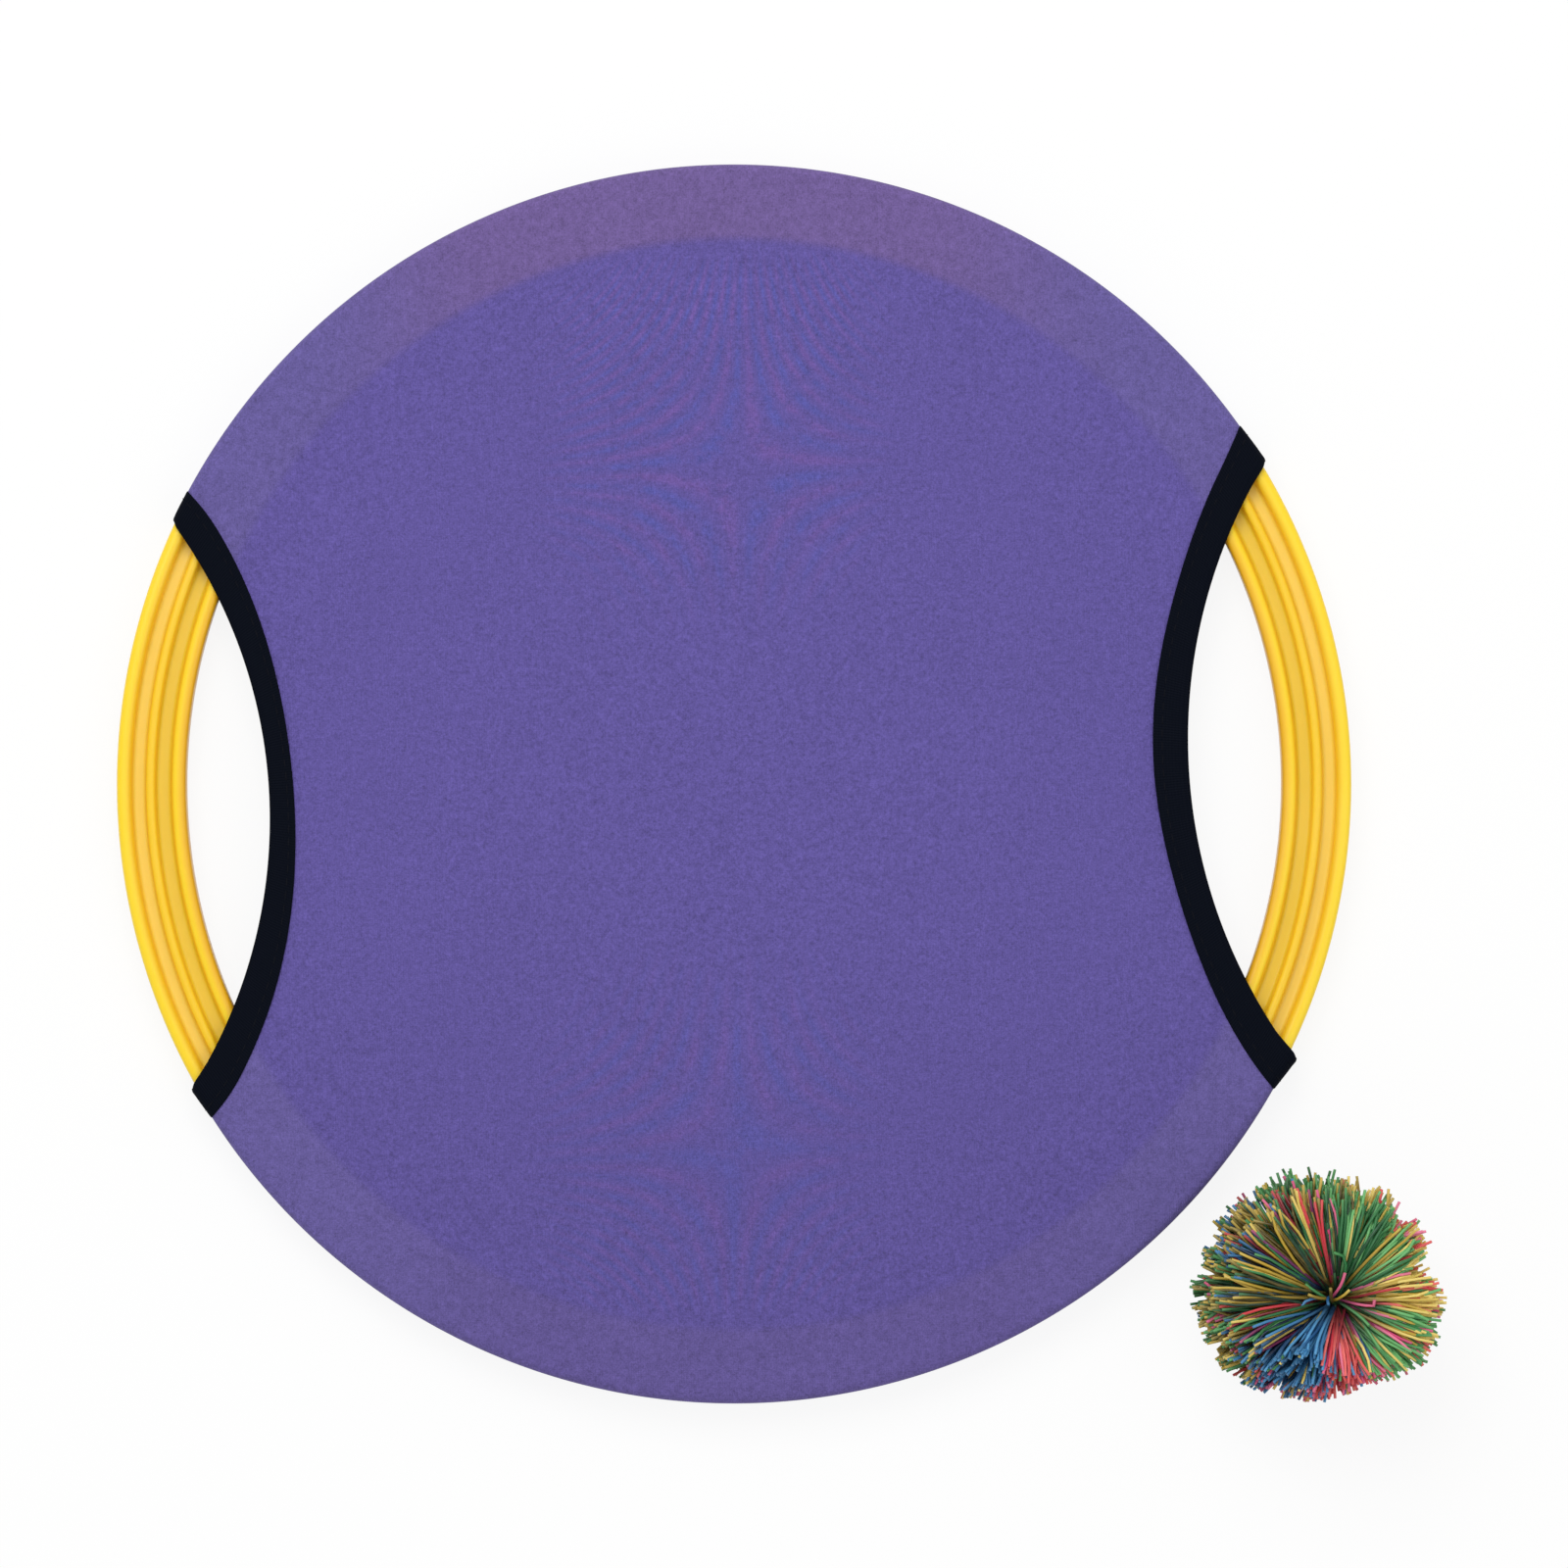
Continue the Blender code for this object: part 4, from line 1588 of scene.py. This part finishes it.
        tip += Vector((self.pole[0] * up, self.pole[1] * up, side * rise))
        root = self.heading(azimuth + chance.gauss(0.0, self.root_spread), 0.0)
        root *= (0.6 + 2.0 * chance.random()) * MM
        root += Vector((*self.pole, side * (1.0 + 7.0 * height) * MM))
        first = 18.0 + 62.0 * height + chance.gauss(0.0, 6.0)
        last = -8.0 + height * (32.0 * (1.0 - fall) - 26.0 * fall + 16.0 * brush)
        last += chance.gauss(0.0, 9.0)
        span = (tip - root).length
        start = self.heading(azimuth + chance.gauss(0.0, 12.0), side * first)
        start *= span * self.pulls[0]
        finish = self.heading(azimuth + lean + chance.gauss(0.0, 13.0), side * last)
        finish *= span * self.pulls[1]
        return azimuth, layer, self.sweep(root, start, tip, finish, chance)

    def stray(self, number: int, chance: random.Random) -> np.ndarray:
        """Return one loose strand that curls over the dent on top.

        Args:
            number: The strand's number.
            chance: The random source.

        Returns:
            Its points in the solids' frame.
        """
        azimuth = number * 360.0 / self.strays + chance.uniform(-10.0, 10.0)
        root = self.heading(azimuth + 150.0, 0.0) * 1.2 * MM + Vector((*self.pole, 9.0 * MM))
        tip = self.heading(azimuth + chance.uniform(-25.0, 25.0), 0.0)
        tip *= chance.uniform(2.0, 11.0) * MM
        tip += Vector((*self.pole, chance.uniform(14.5, 17.0) * MM))
        pull = (tip - root).length * 1.1
        start = self.heading(azimuth + chance.gauss(0.0, 50.0), 75.0) * pull
        finish = self.heading(azimuth + chance.gauss(0.0, 40.0), chance.uniform(-15.0, 30.0)) * pull
        return self.sweep(root, start, tip, finish, chance)

    def azimuth_of(self, path: np.ndarray) -> float:
        """Return the direction in degrees in which a strand leads, seen from above."""
        ahead = path[-1] - path[0]
        return math.degrees(math.atan2(ahead[1], ahead[0]))

    def tone_of(self, path: np.ndarray, chance: random.Random) -> float:
        """Return a strand's tone, 0 dark to 1 light: random, with painted light on the ball's sunny
        side.
        """
        painted_light = self.swell(self.azimuth_of(path), (self.painted_light, self.shaded))
        return min(1.0, max(0.0, chance.random() + painted_light))

    def shade_of(self, path: np.ndarray) -> float:
        """Return how much painted shade the dent puts on a strand's first half, 0 to 1."""
        return min(1.0, self.swell(self.azimuth_of(path), (self.pit,)))

    def sweep(
        self, root: Vector, start: Vector, tip: Vector, finish: Vector, chance: random.Random,
    ) -> np.ndarray:
        """Return a curve between two points with a given direction at each end.

        Args:
            root: Its start, from the ball's middle.
            start: Direction and pull there.
            tip: Its end.
            finish: Direction and pull there.
            chance: The random source, for the height of ends that lie on the floor.

        Returns:
            The points in the solids' frame.
        """
        middle = Vector((*self.centre, self.floor + self.rest_height))
        lowest = self.floor + (0.5 + 0.7 * chance.random()) * MM
        line = []
        for step in range(self.points):
            t = step / (self.points - 1)
            at = root * (1.0 + t * t * (2.0 * t - 3.0)) + start * (t * (1.0 - t) ** 2)
            at += tip * (t * t * (3.0 - 2.0 * t)) + finish * (t * t * (t - 1.0)) + middle
            line.append((at.x, at.y, max(at.z, lowest)))
        return np.array(line)

    def build(self, tree: Tree, solids: Iterable[str]) -> list[Piece]:
        """Build the strands, one piece for each colour.

        Args:
            tree: The strand tree.
            solids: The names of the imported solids.

        Returns:
            The pieces.
        """
        chance = random.Random(self.seed)
        lines: dict[Rubber, list[np.ndarray]] = {colour: [] for colour in Rubber}
        for number in range(self.strands):
            azimuth, layer, line = self.guide(number, chance)
            lines[self.colour_at(azimuth, layer, chance)].append(line)
        for number in range(self.strays):
            colour = chance.choices(list(Rubber), weights=self.loose)[0]
            lines[colour].append(self.stray(number, chance))
        made = []
        for colour, paths in lines.items():
            name = f"{colour.name.lower()}_strands"
            source = add_paths(name, paths, closed=False)
            # Per strand: its tone, which carries painted light by side, and its painted shade in
            # the dent.
            for label, values in (
                ("tone", [self.tone_of(path, chance) for path in paths]),
                ("pit", [self.shade_of(path) for path in paths]),
            ):
                note = source.data.attributes.new(label, "FLOAT", "POINT")
                note.data.foreach_set("value", np.repeat(values, self.points).astype(np.float32))
            material = colour.build()
            piece = mesh_from_nodes(source, tree, {"Seed": 5, "Material": material})
            bundles = sorted(node for node in solids if node.startswith(name))
            made.append(finish_piece(piece, material, bundles))
        return made


@dataclass
class PaddlePiece:
    """The whole paddle: ring, covers, tapes and seams."""

    wrap: WrapShape = field(default_factory=WrapShape)
    left_gap: GapArc = GapArc(-211.3 * MM, 0.7 * MM, 109.7 * MM)
    left_cover: GapArc = GapArc(-221.3 * MM, -0.2 * MM, 125.3 * MM)
    right_gap: GapArc = GapArc(215.4 * MM, 1.3 * MM, 115.95 * MM)
    right_cover: GapArc = GapArc(217.3 * MM, 1.3 * MM, 125.0 * MM)
    left_sway: EdgeSway = EdgeSway(
        0.27 * MM, -0.50 * MM, 4.0, 48.0, 0.0, 0.6 * MM, 0.8 * MM, 1.1 * MM)
    right_sway: EdgeSway = EdgeSway(
        0.18 * MM, 0.36 * MM, 178.0, 34.0, 0.5 * MM, 1.4 * MM, -0.9 * MM, 0.2 * MM)
    tongue: float = 2.3 * MM
    blank_size: tuple[float, float] = (0.2452, 0.2795)
    blank_area: float = 0.0536

    def build(self) -> None:
        """Build and dress every piece of the paddle."""
        RingPiece(self.wrap).build(MouldedPlastic())
        knit = StretchKnit().build()
        tape_cloth = WovenTape().build()
        black = SewingThread("black_thread", linear(11, 13, 21)).build()
        purple = SewingThread("purple_thread", linear(92, 82, 146)).build()
        stitches = stitch_tree()
        ends = tuple(gap.grown(self.tongue) for gap in (self.left_gap, self.right_gap))
        covers = [CoverPiece(front, self.wrap, ends).build(knit) for front in (True, False)]
        sides = (
            ("left", self.left_gap, self.left_cover, self.left_sway),
            ("right", self.right_gap, self.right_cover, self.right_sway),
        )
        for side, gap, cover, sway in sides:
            tape = TapePiece(side, gap, cover, self.wrap, sway)
            tape.build(tape_cloth)
            tape.build_stitches(black, stitches)
        seam = RimSeam(self.wrap, (self.left_cover, self.right_cover)).build(purple, stitches)


@dataclass(frozen=True)
class Lamp:
    """A square soft light that faces the middle: its place, edge length and power in watts."""

    name: str
    place: tuple[float, float, float]
    size: float
    power: float


@dataclass
class Studio:
    """Floor, soft light and the straight-down camera."""

    floor: float = -0.55 * MM
    floor_half: float = 2.5
    frame_width: float = 342.6 * MM
    frame_plane: float = 11.6 * MM
    height: float = 3.0
    roll: float = 2.3
    shift_right: float = 10.92 * MM
    sensor: float = 36.0
    sky_light: float = 0.56
    lamps: tuple[Lamp, ...] = (
        Lamp("key_light", (-0.20, 0.68, 1.28), 0.9, 11.2),
        Lamp("fill_light", (0.8, -0.4, 1.6), 1.2, 4.0),
    )

    def add_floor(self) -> None:
        """Add the floor."""
        half = self.floor_half
        grid = np.array([[(x, y, self.floor) for y in (-half, half)] for x in (-half, half)])
        floor = add_grid("studio_floor", grid, False, False, flip=True)
        floor.data.materials.append(StudioFloor().build())

    def add_light(self, lamp: Lamp) -> None:
        """Add one light.

        Args:
            lamp: Its place, size and power.
        """
        light = bpy.data.lights.new(lamp.name, "AREA")
        light.shape = "SQUARE"
        light.size = lamp.size
        light.energy = lamp.power
        item = add_object(lamp.name, light)
        item.location = lamp.place
        item.rotation_euler = (-Vector(lamp.place)).to_track_quat("-Z", "Y").to_euler()

    def add_world(self) -> None:
        """Add the plain sky: soft light for the set, white for the camera."""
        world = bpy.data.worlds.new("plain_sky")
        world.use_nodes = True
        bpy.context.scene.world = world
        graph = Graph(world.node_tree)
        seen = graph.seen_by("Is Camera Ray", "Is Transmission Ray")
        power = self.sky_light + seen * (1.0 - self.sky_light)
        sky = graph.node("ShaderNodeBackground", {"Color": WHITE, "Strength": power})
        graph.raw("ShaderNodeOutputWorld", {"Surface": sky})

    def add_camera(self) -> None:
        """Add the long-lens camera that looks straight down."""
        turn = math.radians(self.roll)
        right = Vector((math.cos(turn), -math.sin(turn), 0.0))
        up = Vector((math.sin(turn), math.cos(turn), 0.0))
        back = Vector((0.0, 0.0, 1.0))
        lens = bpy.data.cameras.new("studio_camera")
        lens.sensor_fit = "HORIZONTAL"
        lens.sensor_width = self.sensor
        lens.lens = self.sensor * (self.height - self.frame_plane) / self.frame_width
        lens.clip_start = 0.01
        lens.clip_end = 20.0
        camera = add_object("studio_camera", lens)
        basis = Matrix((right, up, back)).transposed().to_4x4()
        camera.matrix_world = Matrix.Translation(
            right * self.shift_right + back * self.height) @ basis
        bpy.context.scene.camera = camera

    def build(self) -> None:
        """Build the studio."""
        self.add_floor()
        for lamp in self.lamps:
            self.add_light(lamp)
        self.add_world()
        self.add_camera()
        bpy.context.scene.view_settings.view_transform = "Standard"


def dress_tie() -> None:
    """Give the hidden band of the ball its rubber."""
    material, graph = surface("tie_rubber")
    dust = graph.noise(graph.point(), 700.0, 3.0)
    colour = graph.mix_colour(dust, linear(52, 52, 54), linear(74, 73, 72))
    close_surface(graph, {"Base Color": colour, "Roughness": 0.55 + (dust - 0.5) * 0.2})
    item = bpy.data.objects["ball_tie"]
    item.data.materials.clear()
    item.data.materials.append(material)
    LOG.info("ball_tie: kept")


def main() -> None:
    """Build the set in order."""
    logging.basicConfig(level=logging.INFO, format="%(message)s")
    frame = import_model()
    PaddlePiece().build()
    StringBall().build(strand_tree(), list(frame["nodes"]))
    dress_tie()
    Studio().build()


if __name__ == "__main__":
    main()
